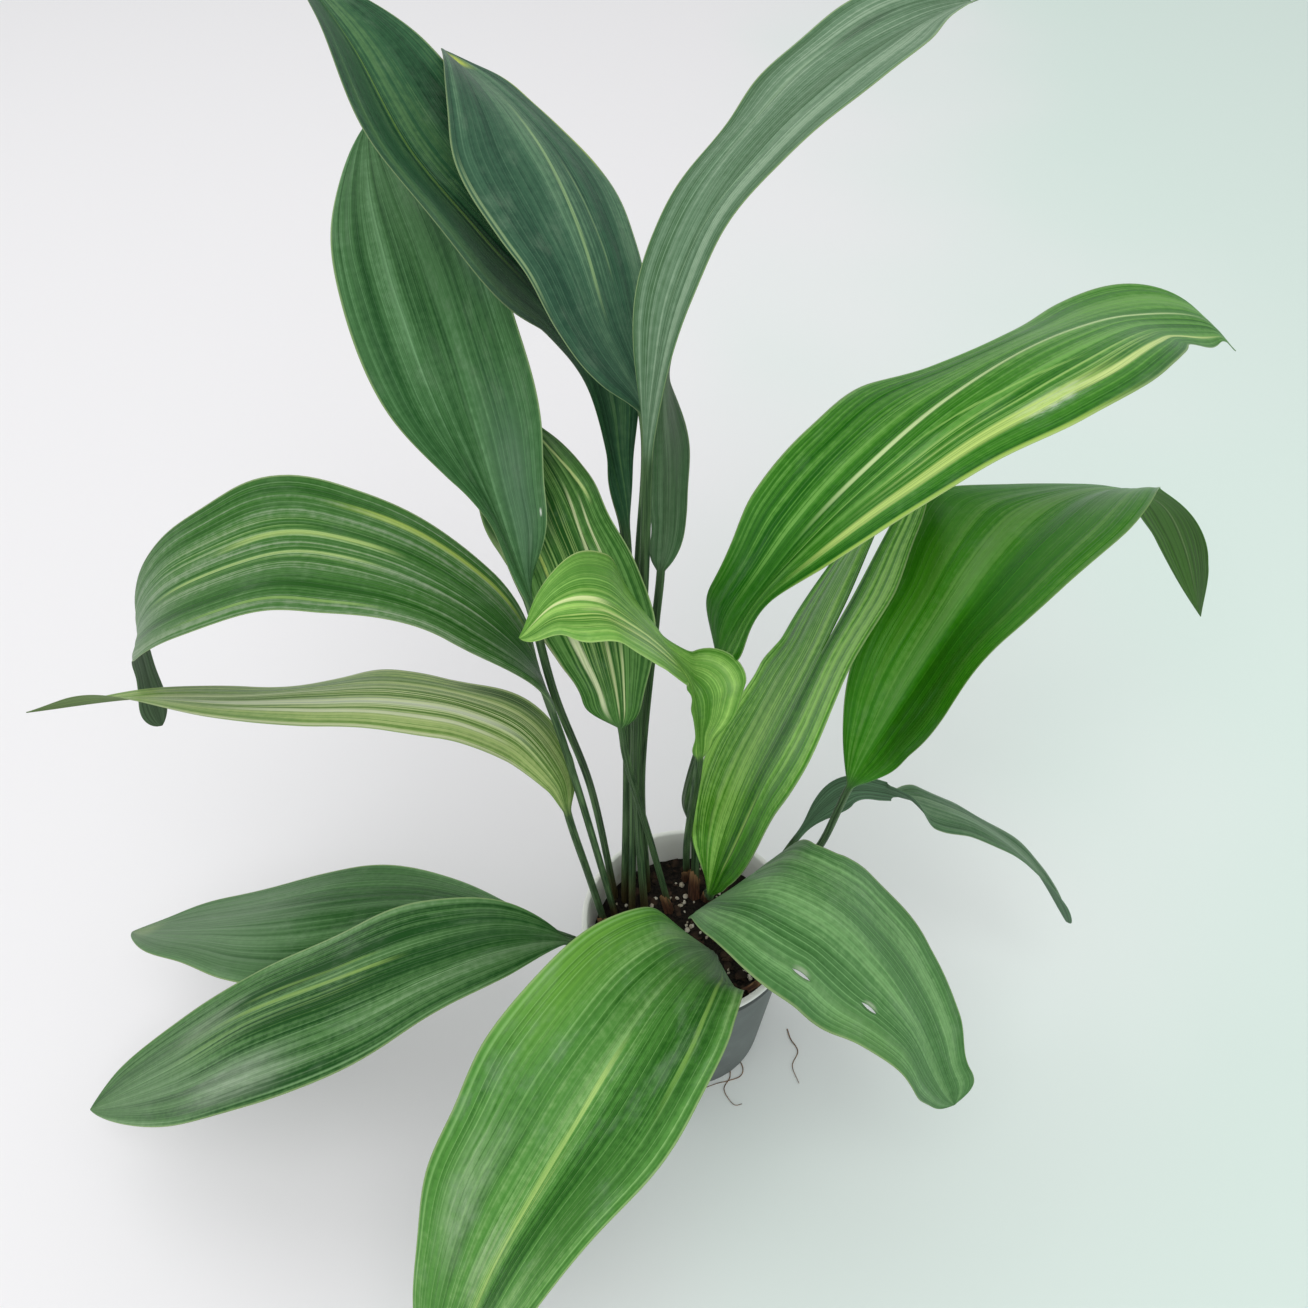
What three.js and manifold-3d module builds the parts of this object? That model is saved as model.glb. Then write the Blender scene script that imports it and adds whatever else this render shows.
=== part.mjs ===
// A cast iron plant (Aspidistra) with seventeen leaves in a tapered nursery pot.
// Millimetres, +Z up. The origin is the centre of the pot's underside.
import * as THREE from 'three';
import { mergeVertices } from 'three/addons/utils/BufferGeometryUtils.js';
import Module from 'manifold-3d';

const wasm = await Module();
wasm.setup();

// ---- driving dimensions -------------------------------------------------

const pot = {
  height: 148,
  baseRadius: 58,
  bodyTopRadius: 72,
  rimRadius: 75,
  rimHeight: 9,
  wall: 2,
  floor: 3,
  footInset: 1.5,
  segments: 40,
};
const drain = { count: 6, radius: 4.5, circleRadius: 40, sides: 12 };
const soil = { top: 123, crown: 3, gap: 0.3 };
// a stalk's hole is this much larger than the stalk, whose section has small corners
const stemHole = { depth: 24, larger: 1.1, clearance: 0.35, sides: 12 };

// The blade's upper and lower faces share these places across its width, -1 to 1.
const acrossBlade = [-1, -0.66, -0.33, 0, 0.33, 0.66, 1];
const bladeHalfThickness = 0.5;
const ribHalfThickness = 1.5;
const petioleFlatness = 0.38;
const blendFraction = 0.14;
const petioleStep = 48;
const bladeStations = 20;

// Each leaf: the run of its stalk and midrib from the soil to the tip, the point of that
// run where the blade begins, its full width, how blunt its base and tip are, and the
// turn and the fold of the blade, in degrees, spread evenly from its base to its tip.
// left and right say how much wider or narrower than that form each side is, also evenly.
const plainSide = [1, 1];
const leaves = [
  {
    name: 'leaf_back_left_high',
    path: [[-45, 32, 126], [-41, 46, 282], [-41, 92, 430], [-48, 116, 466], [-61, 138, 510],
      [-85, 148, 551], [-116, 154, 590], [-152, 180, 623], [-182, 222, 656], [-216, 272, 675]],
    bladeFrom: 2, width: 104, base: 1.1, tip: 0.78,
    turn: [3, 27, 23, 24], fold: [36, 20, 28], petiole: 6.4,
    left: [1, 1, 1, 1, 1, 1.25, 1.25, 1.1, 1.03, 1, 1],
    right: [1, 0.8, 1, 1, 1, 1, 1, 1, 1, 1, 1],
  },
  {
    name: 'leaf_back_left_inner',
    path: [[-40, 22, 126], [-37, 27, 281], [-33, 51, 434], [-30, 80, 527], [-48, 100, 570],
      [-61, 125, 600], [-79, 160, 622], [-103, 203, 634], [-140, 258, 640]],
    bladeFrom: 3, width: 90, base: 0.83, tip: 0.78,
    turn: [22, 16, 36], fold: [14, -12, 12], petiole: 5,
    left: [1, 1.4, 1.2, 1, 1.03, 1.04, 1.06, 1, 1, 1, 1],
    right: [1, 1, 1, 1, 1, 1, 0.96, 0.84, 0.85, 1, 1],
  },
  {
    name: 'leaf_left_upright',
    path: [[-53, 34, 126], [-66, 36, 254], [-83, 22, 366], [-92, 20, 443], [-115, 76, 483],
      [-142, 144, 537], [-170, 216, 569], [-196, 288, 585]],
    bladeFrom: 3, width: 99, base: 0.99, tip: 0.82,
    turn: [45, -25, -19], fold: [32, 22, 8], petiole: 5,
    right: [1, 1.2, 1, 1, 1, 1, 1, 1, 1, 1, 1],
  },
  {
    name: 'leaf_back_right_high',
    path: [[-31, 22, 126], [-35, 20, 278], [-29, 42, 458], [-27, 50, 522], [-24, 60, 562],
      [-17, 81, 595], [-1, 112, 621], [24, 152, 637], [69, 214, 648], [123, 276, 648],
      [164, 324, 640]],
    bladeFrom: 3, width: 82, base: 1.1, tip: 0.5,
    turn: [-2, -20, -5], fold: [24, 1, 25], petiole: 5.5,
    left: [1, 1, 1, 0.89, 0.85, 0.84, 0.96, 0.95, 1, 1, 1],
    right: [1, 1, 1, 0.78, 0.97, 1, 1.1, 1.14, 0.9, 1, 1],
  },
  {
    name: 'leaf_back_middle',
    path: [[-29, 40, 126], [-32, 33, 274], [-23, 54, 395], [-20, 70, 420], [-19, 100, 448],
      [-19, 139, 469], [-18, 188, 484], [-15, 265, 488]],
    bladeFrom: 3, width: 60, base: 0.7, tip: 0.82,
    turn: [-21, -60, -5], fold: [17, 20, 10], petiole: 5,
    left: [1, 0.4, 0.4, 0.37, 0.4, 0.55, 0.8, 0.8, 0.8, 0.8, 1],
    right: [1, 1.08, 1.05, 1.3, 1.2, 0.9, 0.7, 0.7, 0.8, 0.8, 1],
  },
  {
    name: 'leaf_right_high',
    path: [[6, 34, 126], [4, 38, 200], [-2.5, 31, 240], [-2, 23, 270], [5, 17, 325],
      [12, 13, 371], [14, 10, 406], [24, 13, 441], [43, 23, 470], [67, 38, 496],
      [97, 57, 519], [129, 79, 535], [165, 107, 541], [207, 142, 536], [254, 178, 522],
      [312, 206, 500], [336, 203, 480]],
    bladeFrom: 6, width: 120, base: 0.9, tip: 0.8,
    turn: [-3, -10, -21, 15], fold: [36, -10, -4], petiole: 6,
    left: [2.6, 1.14, 1, 1, 1.03, 0.75, 0.62, 0.82, 1.12, 1.25, 1],
    right: [1.6, 0.75, 1, 0.98, 0.93, 1.04, 1.14, 1.07, 0.9, 1, 1],
  },
  {
    name: 'leaf_right_middle',
    path: [[24, 6, 126], [68, 3, 192], [85, 4, 232], [99, 10, 290], [117, 20, 333], [134, 30, 370],
      [161, 51, 411], [195, 84, 434], [234, 120, 433], [272, 143, 419], [302, 150, 399],
      [322, 143, 370], [338, 120, 329]],
    bladeFrom: 3, width: 125, base: 0.87, tip: 0.87,
    turn: [35, -13, -34, 20], fold: [36, 9, -8], petiole: 5,
    left: [1, 1, 1, 1, 1.16, 1.22, 0.78, 0.58, 0.9, 1.35, 1.6],
    right: [1, 0.9, 1, 0.92, 0.93, 1, 0.85, 0.5, 0.62, 1.2, 1.5],
  },
  {
    name: 'leaf_centre_striped',
    path: [[-13, 22, 126], [-25, 20, 205], [-41, 0, 335], [-43, -3, 366], [-52, 15, 409],
      [-62, 40, 441], [-77, 76, 460], [-95, 118, 469], [-111, 152, 474]],
    bladeFrom: 3, width: 88, base: 0.71, tip: 0.8,
    turn: [-44, -50, 10], fold: [5, 6, 0], petiole: 4.5,
    left: [1.8, 0.95, 0.9, 0.95, 1, 1, 1.08, 1.18, 1.2, 1, 1],
    right: [1, 0.85, 0.93, 1.02, 0.9, 0.75, 0.7, 0.63, 0.64, 0.78, 1],
  },
  {
    name: 'leaf_centre_twisted',
    path: [[0, 50, 126], [-1.5, 25, 200], [-0.5, 4, 268], [2, -18, 357], [1, -20, 384],
      [-1, -24, 409], [-6, -27, 436], [-20, -27, 461], [-36, -24, 476], [-53, -23, 488],
      [-72, -27, 490], [-91, -37, 478]],
    bladeFrom: 3, width: 78, base: 0.7, tip: 0.64,
    turn: [-85, -80, -60, -15, 12, 17, 10, -10, -25], fold: [30, 0, 25], petiole: 5,
    left: [0.5, 0.15, 0.18, 0.38, 0.5, 0.8, 1.5, 1.6, 1.4, 1.1, 1],
    right: [0.7, 0.5, 0.85, 1.02, 0.52, 0.65, 1.1, 1.35, 1.05, 0.5, 0.2],
  },
  {
    name: 'leaf_left_arched',
    path: [[-53, 19, 126], [-60.5, 4, 216], [-73, 6, 304], [-84, 14, 358], [-96, 24, 392],
      [-123, 36, 418], [-158, 49, 433], [-201, 60, 441], [-232, 64, 442], [-270, 64, 430],
      [-315, 67, 402], [-342, 72, 366], [-349, 74, 328], [-350, 67, 280]],
    bladeFrom: 3, width: 92, base: 0.8, tip: 0.63,
    turn: [36, -2, -21, -15, -22, 20], fold: [6, 12, 4], petiole: 5,
    left: [2, 1.45, 1.1, 0.93, 0.93, 0.97, 1.1, 1, 0.6, 0.45, 1],
    right: [1, 1, 0.97, 0.95, 0.95, 1.05, 0.97, 0.95, 0.8, 0.45, 0.8],
  },
  {
    name: 'leaf_left_long',
    path: [[-60, 10, 126], [-68, 2, 199], [-79, 4, 270], [-82, 9, 302], [-103, 22, 333],
      [-134, 26, 352], [-178, 26, 365], [-225, 24, 365], [-267, 22, 363], [-332, 24, 359],
      [-402, 23, 347]],
    bladeFrom: 2, width: 74, base: 0.93, tip: 1,
    turn: [-50, 19, 34, 56], fold: [-14, -12, 17], petiole: 5,
    right: [1, 1, 1, 1, 1, 1.35, 1.1, 1, 1, 1, 1],
  },
  {
    name: 'leaf_lower_left_back',
    path: [[-46, 0, 126], [-60, -33, 165], [-86, -36, 187], [-127, -26, 196], [-183, -14, 188],
      [-248, -5, 163], [-320, 4, 132], [-409, 16, 101]],
    bladeFrom: 2, width: 106, base: 0.99, tip: 0.8,
    turn: [45, 5, 34], fold: [5, -14, 6], petiole: 5,
    left: [1, 1, 1, 1, 1, 1, 1, 1, 1, 1.3, 1.3],
    right: [1, 1, 1, 1, 1, 1, 1, 1, 1.05, 1.15, 1],
  },
  {
    name: 'leaf_lower_left_front',
    path: [[-36, -12, 126], [-59, -52, 189], [-80, -60, 221], [-119, -68, 236], [-162, -78, 230],
      [-221, -88, 204], [-285, -94, 168], [-351, -98, 109], [-423, -98, 52]],
    bladeFrom: 2, width: 100, base: 0.77, tip: 0.85,
    turn: [-13, 2, -5], fold: [19, -10, 14], petiole: 5,
    left: [0.7, 1.03, 0.97, 1, 1, 1, 1, 1, 1, 1, 1],
  },
  {
    name: 'leaf_front_broad',
    path: [[14, -14, 126], [14, -62, 195], [11, -75, 230], [-8, -99, 254], [-27, -128, 266],
      [-44, -159, 271], [-76, -206, 257], [-101, -240, 234], [-124, -268, 191], [-150, -293, 107]],
    bladeFrom: 2, width: 127, base: 0.6, tip: 0.95,
    turn: [-14, -3, 18, -8], fold: [36, 24, 11], petiole: 6,
    left: [1, 1, 1, 1, 1, 0.96, 1, 1, 1, 1, 1],
    right: [1, 1, 1.03, 1.03, 1.03, 0.97, 1, 1, 1, 1, 1],
  },
  {
    name: 'leaf_lower_right',
    path: [[24, 20, 126], [15, -10, 180], [14, -41, 235], [25, -61, 279], [48, -74, 305],
      [76, -86, 301], [108, -97, 264], [134, -111, 224], [170, -129, 133]],
    bladeFrom: 2, width: 118, base: 0.6, tip: 1,
    turn: [-24, -7, -7, 30], fold: [6, -14, 24], petiole: 5,
    left: [1, 0.95, 1, 0.8, 0.83, 1.02, 1.12, 1.08, 0.98, 1.12, 3],
    right: [1, 0.66, 0.8, 1.04, 1.02, 0.99, 0.92, 0.93, 1.15, 1.35, 2],
  },
  {
    name: 'leaf_centre_right_torn',
    path: [[15, 34, 126], [15, 2, 177], [19, 1, 231], [31, 9, 287], [49, 23, 340], [69, 47, 373],
      [91, 83, 394], [115, 125, 410], [138, 170, 419]],
    bladeFrom: 1, width: 125, base: 1.15, tip: 1.05,
    turn: [-21, -52, -46], fold: [15, 1, -14], petiole: 6,
    tear: { from: 0.6, gap: 11, columns: [-1, -0.72, -0.45, -0.25, 0.15, 0.58, 1], column: 3 },
    left: [1, 1, 1, 1, 0.97, 1, 0.9, 1, 1, 1, 1],
    right: [1, 1, 1, 1, 1.02, 1.27, 1.04, 1, 0.9, 1, 1],
  },
  {
    name: 'leaf_right_thin',
    path: [[33, 18, 126], [56, 20, 170], [73, 26, 208], [90, 36, 229], [109, 46, 236],
      [132, 48, 232], [141, 45, 232], [174, 47, 214], [209, 47, 190], [249, 44, 149],
      [287, 32, 88]],
    bladeFrom: 2, width: 46, base: 1.15, tip: 0.5,
    turn: [-140, -135, -75, -12, -18, -20, -16, -12, -9], fold: [9, -10, 24], petiole: 4.5,
    left: [1, 1.9, 1.4, 1.5, 1.2, 1.4, 1.2, 0.9, 0.8, 1, 1],
    right: [1, 1.9, 1.3, 1.4, 1.3, 0.85, 0.75, 0.8, 1, 1, 1],
  },
];

// ---- small helpers ------------------------------------------------------

const smooth = (x) => x * x * (3 - 2 * x);
const clamp01 = (x) => Math.min(1, Math.max(0, x));

/** Values given at even steps from 0 to 1, read smoothly at s. */
function along(values, s) {
  const place = s * (values.length - 1);
  const i = Math.min(Math.floor(place), values.length - 2);
  return THREE.MathUtils.lerp(values[i], values[i + 1], smooth(place - i));
}

/** A closed mesh from a flat list of vertices and triangles. */
function closedGeometry(vertices, triangles) {
  const geometry = new THREE.BufferGeometry();
  geometry.setAttribute('position', new THREE.Float32BufferAttribute(vertices, 3));
  geometry.setIndex(triangles);
  return geometry;
}

function toSolid(geometry) {
  const plain = geometry.clone();
  plain.deleteAttribute('normal');
  plain.deleteAttribute('uv');
  const merged = mergeVertices(plain, 1e-4);
  return new wasm.Manifold(new wasm.Mesh({
    numProp: 3,
    vertProperties: new Float32Array(merged.attributes.position.array),
    triVerts: new Uint32Array(merged.index.array),
  }));
}

function fromSolid(solid) {
  const mesh = solid.getMesh();
  return closedGeometry(Array.from(mesh.vertProperties), Array.from(mesh.triVerts));
}

// ---- leaves -------------------------------------------------------------

/** A smooth curve through evenly spaced values, read at a share s of its length. */
function through(values, s) {
  const place = clamp01(s) * (values.length - 1);
  const i = Math.min(Math.floor(place), values.length - 2);
  const [a, b, c, d] = [i - 1, i, i + 1, i + 2].map(
    (k) => values[THREE.MathUtils.clamp(k, 0, values.length - 1)],
  );
  const t = place - i;
  const bend = 2 * a - 5 * b + 4 * c - d + t * (3 * (b - c) + d - a);
  return b + (t / 2) * (c - a + t * bend);
}

/** The blade's width at s, 0 at its base and 1 at its tip, on the side of its midrib where v is. */
function halfWidth(leaf, s, v) {
  const x = THREE.MathUtils.clamp(s, 1e-4, 1 - 1e-4);
  const widest = leaf.base / (leaf.base + leaf.tip);
  const shape = (x / widest) ** leaf.base * ((1 - x) / (1 - widest)) ** leaf.tip;
  const share = through((v > 0 ? leaf.left : leaf.right) ?? plainSide, s);
  return Math.hypot((leaf.width / 2) * shape * share, (leaf.petiole / 2) * (1 - x), 0.8);
}

/** The stations of a leaf from the foot of its stalk to its tip, with a frame at each. */
function leafStations(leaf) {
  const points = leaf.path.map((p) => new THREE.Vector3(...p));
  const curve = new THREE.CatmullRomCurve3(points, false, 'centripetal');
  curve.arcLengthDivisions = 24 * (points.length - 1);
  const lengths = curve.getLengths();
  const total = lengths[lengths.length - 1];
  const bladeStart = lengths[24 * leaf.bladeFrom] / total;

  const toTip = new THREE.Vector3().subVectors(points[points.length - 1], points[leaf.bladeFrom]);
  const level = new THREE.Vector3(-toTip.y, toTip.x, 0).normalize();

  const stalkSteps = Math.max(3, Math.round((bladeStart * total) / petioleStep));
  const places = [];
  for (let i = 0; i < stalkSteps; i++) {
    places.push({ u: (bladeStart * i) / stalkSteps, s: 0 });
  }
  for (let i = 0; i <= bladeStations; i++) {
    const even = i / bladeStations;
    const s = (even + (1 - Math.cos(Math.PI * even)) / 2) / 2;
    places.push({ u: bladeStart + (1 - bladeStart) * s, s });
  }

  const stations = places.map(({ u, s }) => {
    const ahead = curve.getTangentAt(u);
    const across = level.clone().addScaledVector(ahead, -level.dot(ahead)).normalize();
    const up = new THREE.Vector3().crossVectors(ahead, across);
    const turn = THREE.MathUtils.degToRad(along(leaf.turn, s));
    across.applyAxisAngle(ahead, turn);
    up.applyAxisAngle(ahead, turn);
    return { s, centre: curve.getPointAt(u), across, up };
  });

  // the foot of the stalk goes straight down into its hole in the soil
  const mouth = stations[0];
  const swing = Math.atan2(stations[1].across.y, stations[1].across.x);
  mouth.across = new THREE.Vector3(Math.cos(swing), Math.sin(swing), 0);
  mouth.up = new THREE.Vector3(-Math.sin(swing), Math.cos(swing), 0);
  const footHeight = soil.top - stemHole.depth + stemHole.clearance;
  const foot = { ...mouth, centre: mouth.centre.clone().setZ(footHeight) };
  return [foot, ...stations];
}

/** The indices of a closed ring of new vertices round a station, upper face first. */
function leafRing(leaf, station, columns, shift, vertices) {
  const { s, centre, across: side, up } = station;
  const ring = [];
  const blend = smooth(clamp01(s / blendFraction));
  const fold = THREE.MathUtils.degToRad(along(leaf.fold, s)) * blend;
  const rib = THREE.MathUtils.lerp(ribHalfThickness, bladeHalfThickness, s);
  for (const face of [1, -1]) {
    for (const v of face > 0 ? columns : columns.toReversed()) {
      const round = petioleFlatness + (1 - petioleFlatness) * Math.sqrt(Math.max(0, 1 - v * v));
      const flat = v === 0 ? rib : bladeHalfThickness;
      const thick = THREE.MathUtils.lerp((leaf.petiole / 2) * round, flat, blend);
      const half = halfWidth(leaf, s, v);
      const out = v * half * Math.cos(fold) + shift;
      const rise = Math.abs(v) * half * Math.sin(fold) + face * thick;
      const point = centre.clone().addScaledVector(side, out).addScaledVector(up, rise);
      ring.push(vertices.length / 3);
      vertices.push(point.x, point.y, point.z);
    }
  }
  return ring;
}

/** The skin from one ring to the next; both faces are split alike, so they never cross. */
function joinRings(from, to, triangles) {
  const size = from.length;
  for (let k = 0; k < size; k++) {
    const next = (k + 1) % size;
    const [a, b, c, d] = [from[k], from[next], to[next], to[k]];
    if (k < size / 2) triangles.push(a, c, b, a, d, c);
    else triangles.push(a, d, b, b, d, c);
  }
}

/** The flat end of a ring, facing along the leaf or, if it is the foot, against it. */
function closeRing(ring, isFoot, triangles) {
  for (let k = 0; k + 1 < ring.length / 2; k++) {
    const under = ring.length - 1 - k;
    const [a, b, c, d] = [ring[k], ring[k + 1], ring[under - 1], ring[under]];
    if (isFoot) triangles.push(a, b, d, b, c, d);
    else triangles.push(a, d, b, b, d, c);
  }
}

/** A leaf as one closed skin. A torn blade goes on as two arms above the tear. */
function leafGeometry(leaf) {
  const vertices = [];
  const triangles = [];
  const columns = leaf.tear ? leaf.tear.columns : acrossBlade;
  const size = columns.length;
  let rings = [];
  for (const station of leafStations(leaf)) {
    let next;
    if (leaf.tear && station.s > leaf.tear.from) {
      const { from, column, gap } = leaf.tear;
      if (rings.length === 1) {
        const whole = rings[0];
        const under = 2 * size - 1 - column;
        rings = [
          [...whole.slice(0, column + 1), ...whole.slice(under)],
          whole.slice(column, under + 1),
        ];
      }
      const spread = (gap * (station.s - from)) / (1 - from);
      next = [
        leafRing(leaf, station, columns.slice(0, column + 1), -spread, vertices),
        leafRing(leaf, station, columns.slice(column), spread, vertices),
      ];
    } else {
      next = [leafRing(leaf, station, columns, 0, vertices)];
    }
    if (rings.length === 0) closeRing(next[0], true, triangles);
    rings.forEach((ring, i) => joinRings(ring, next[i], triangles));
    rings = next;
  }
  for (const ring of rings) closeRing(ring, false, triangles);
  return closedGeometry(vertices, triangles);
}

// ---- pot and soil -------------------------------------------------------

const slope = (pot.bodyTopRadius - pot.baseRadius) / (pot.height - pot.rimHeight);
const outerRadiusAt = (z) => pot.baseRadius + slope * z;
const innerRadiusAt = (z) => outerRadiusAt(z) - pot.wall;

/** A round bar standing on z0, for holes. */
function roundBar(radius, sides, x, y, z0, z1) {
  const bar = new THREE.CylinderGeometry(radius, radius, z1 - z0, sides);
  bar.rotateX(Math.PI / 2);
  bar.translate(x, y, (z0 + z1) / 2);
  return toSolid(bar);
}

function potGeometry() {
  const rimInner = pot.rimRadius - pot.wall - 1;
  const profile = [
    [0, 0],
    [pot.baseRadius - pot.footInset, 0],
    [pot.baseRadius, pot.footInset],
    [pot.bodyTopRadius, pot.height - pot.rimHeight],
    [pot.rimRadius - 0.8, pot.height - pot.rimHeight],
    [pot.rimRadius, pot.height - pot.rimHeight + 1.2],
    [pot.rimRadius, pot.height - 1.2],
    [pot.rimRadius - 1.2, pot.height],
    [rimInner + 0.6, pot.height],
    [innerRadiusAt(pot.height) - 0.6, pot.height - 3],
    [innerRadiusAt(pot.floor), pot.floor],
    [0, pot.floor],
  ].map(([r, z]) => new THREE.Vector2(r, z));
  const lathe = new THREE.LatheGeometry(profile, pot.segments);
  lathe.rotateX(Math.PI / 2);
  let body = toSolid(lathe);
  for (let i = 0; i < drain.count; i++) {
    const angle = (2 * Math.PI * (i + 0.5)) / drain.count;
    const x = drain.circleRadius * Math.cos(angle);
    const y = drain.circleRadius * Math.sin(angle);
    body = body.subtract(roundBar(drain.radius, drain.sides, x, y, -1, pot.floor + 1));
  }
  return fromSolid(body);
}

function soilGeometry() {
  const bottom = pot.floor + soil.gap;
  const edge = innerRadiusAt(soil.top) - soil.gap - 0.3;
  const profile = [
    [0, bottom],
    [innerRadiusAt(bottom) - soil.gap - 0.3, bottom],
    [edge, soil.top - soil.crown],
    [edge * 0.82, soil.top - 0.6],
    [0, soil.top],
  ].map(([r, z]) => new THREE.Vector2(r, z));
  const lathe = new THREE.LatheGeometry(profile, pot.segments);
  lathe.rotateX(Math.PI / 2);
  let body = toSolid(lathe);
  for (const leaf of leaves) {
    const [x, y] = leaf.path[0];
    const radius = (leaf.petiole / 2) * stemHole.larger + stemHole.clearance;
    const z0 = soil.top - stemHole.depth;
    body = body.subtract(roundBar(radius, stemHole.sides, x, y, z0, soil.top + 2));
  }
  return fromSolid(body);
}

// ---- assembly -----------------------------------------------------------

const potPlastic = new THREE.MeshStandardMaterial({ color: 0x6f7473, roughness: 0.55, metalness: 0 });
const soilMix = new THREE.MeshStandardMaterial({ color: 0x241a14, roughness: 1, metalness: 0 });
const leafGreen = new THREE.MeshStandardMaterial({ color: 0x2f6a2c, roughness: 0.4, metalness: 0 });

const plant = new THREE.Group();

function addPiece(name, geometry, material) {
  const mesh = new THREE.Mesh(geometry, material);
  mesh.name = name;
  plant.add(mesh);
}

addPiece('pot', potGeometry(), potPlastic);
addPiece('soil', soilGeometry(), soilMix);
for (const leaf of leaves) addPiece(leaf.name, leafGeometry(leaf), leafGreen);

export default plant;
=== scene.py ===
"""The looks of a potted cast iron plant: leaves, pot, potting mix, floor, light and camera."""
import math

import bmesh
import bpy
import numpy as np
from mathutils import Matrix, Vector, noise


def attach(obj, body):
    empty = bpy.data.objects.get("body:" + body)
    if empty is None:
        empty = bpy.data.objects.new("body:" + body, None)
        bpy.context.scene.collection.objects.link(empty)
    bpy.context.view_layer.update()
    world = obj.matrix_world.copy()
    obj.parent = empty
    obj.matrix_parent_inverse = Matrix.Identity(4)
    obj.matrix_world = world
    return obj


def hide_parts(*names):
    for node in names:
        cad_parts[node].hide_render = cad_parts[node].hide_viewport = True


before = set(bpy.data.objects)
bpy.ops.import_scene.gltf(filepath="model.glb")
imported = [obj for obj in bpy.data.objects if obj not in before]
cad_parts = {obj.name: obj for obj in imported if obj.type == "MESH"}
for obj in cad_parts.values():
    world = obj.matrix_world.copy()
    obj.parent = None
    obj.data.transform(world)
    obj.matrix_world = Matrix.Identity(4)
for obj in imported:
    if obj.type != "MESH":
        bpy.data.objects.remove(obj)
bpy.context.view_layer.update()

MM = 0.001

# ---- sizes, in millimetres, as in the part's source ----------------------

POT = dict(height=148, base=58, body_top=72, rim=75, rim_height=9, wall=2, floor=3)
DRAIN = dict(count=6, radius=4.5, circle=40)
SOIL_TOP = 123
STALK_DEPTH = 22

# The share of a blade over which its stalk flattens into it.
BLEND = 0.14

# How far from the pot's axis grains are strewn over the potting mix.
SOIL_EDGE = 66

# How finely the leaves are made: steps on each span of a midrib, points across a blade.
SPAN_STEPS = 24
COLUMNS = 53

# The veins across half a blade, and how fine the mottle and the cells are, to a metre.
VEINS_A_SIDE = 13.0
MOTTLE_SCALE = 240.0
CELL_SCALE = 900.0

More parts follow.
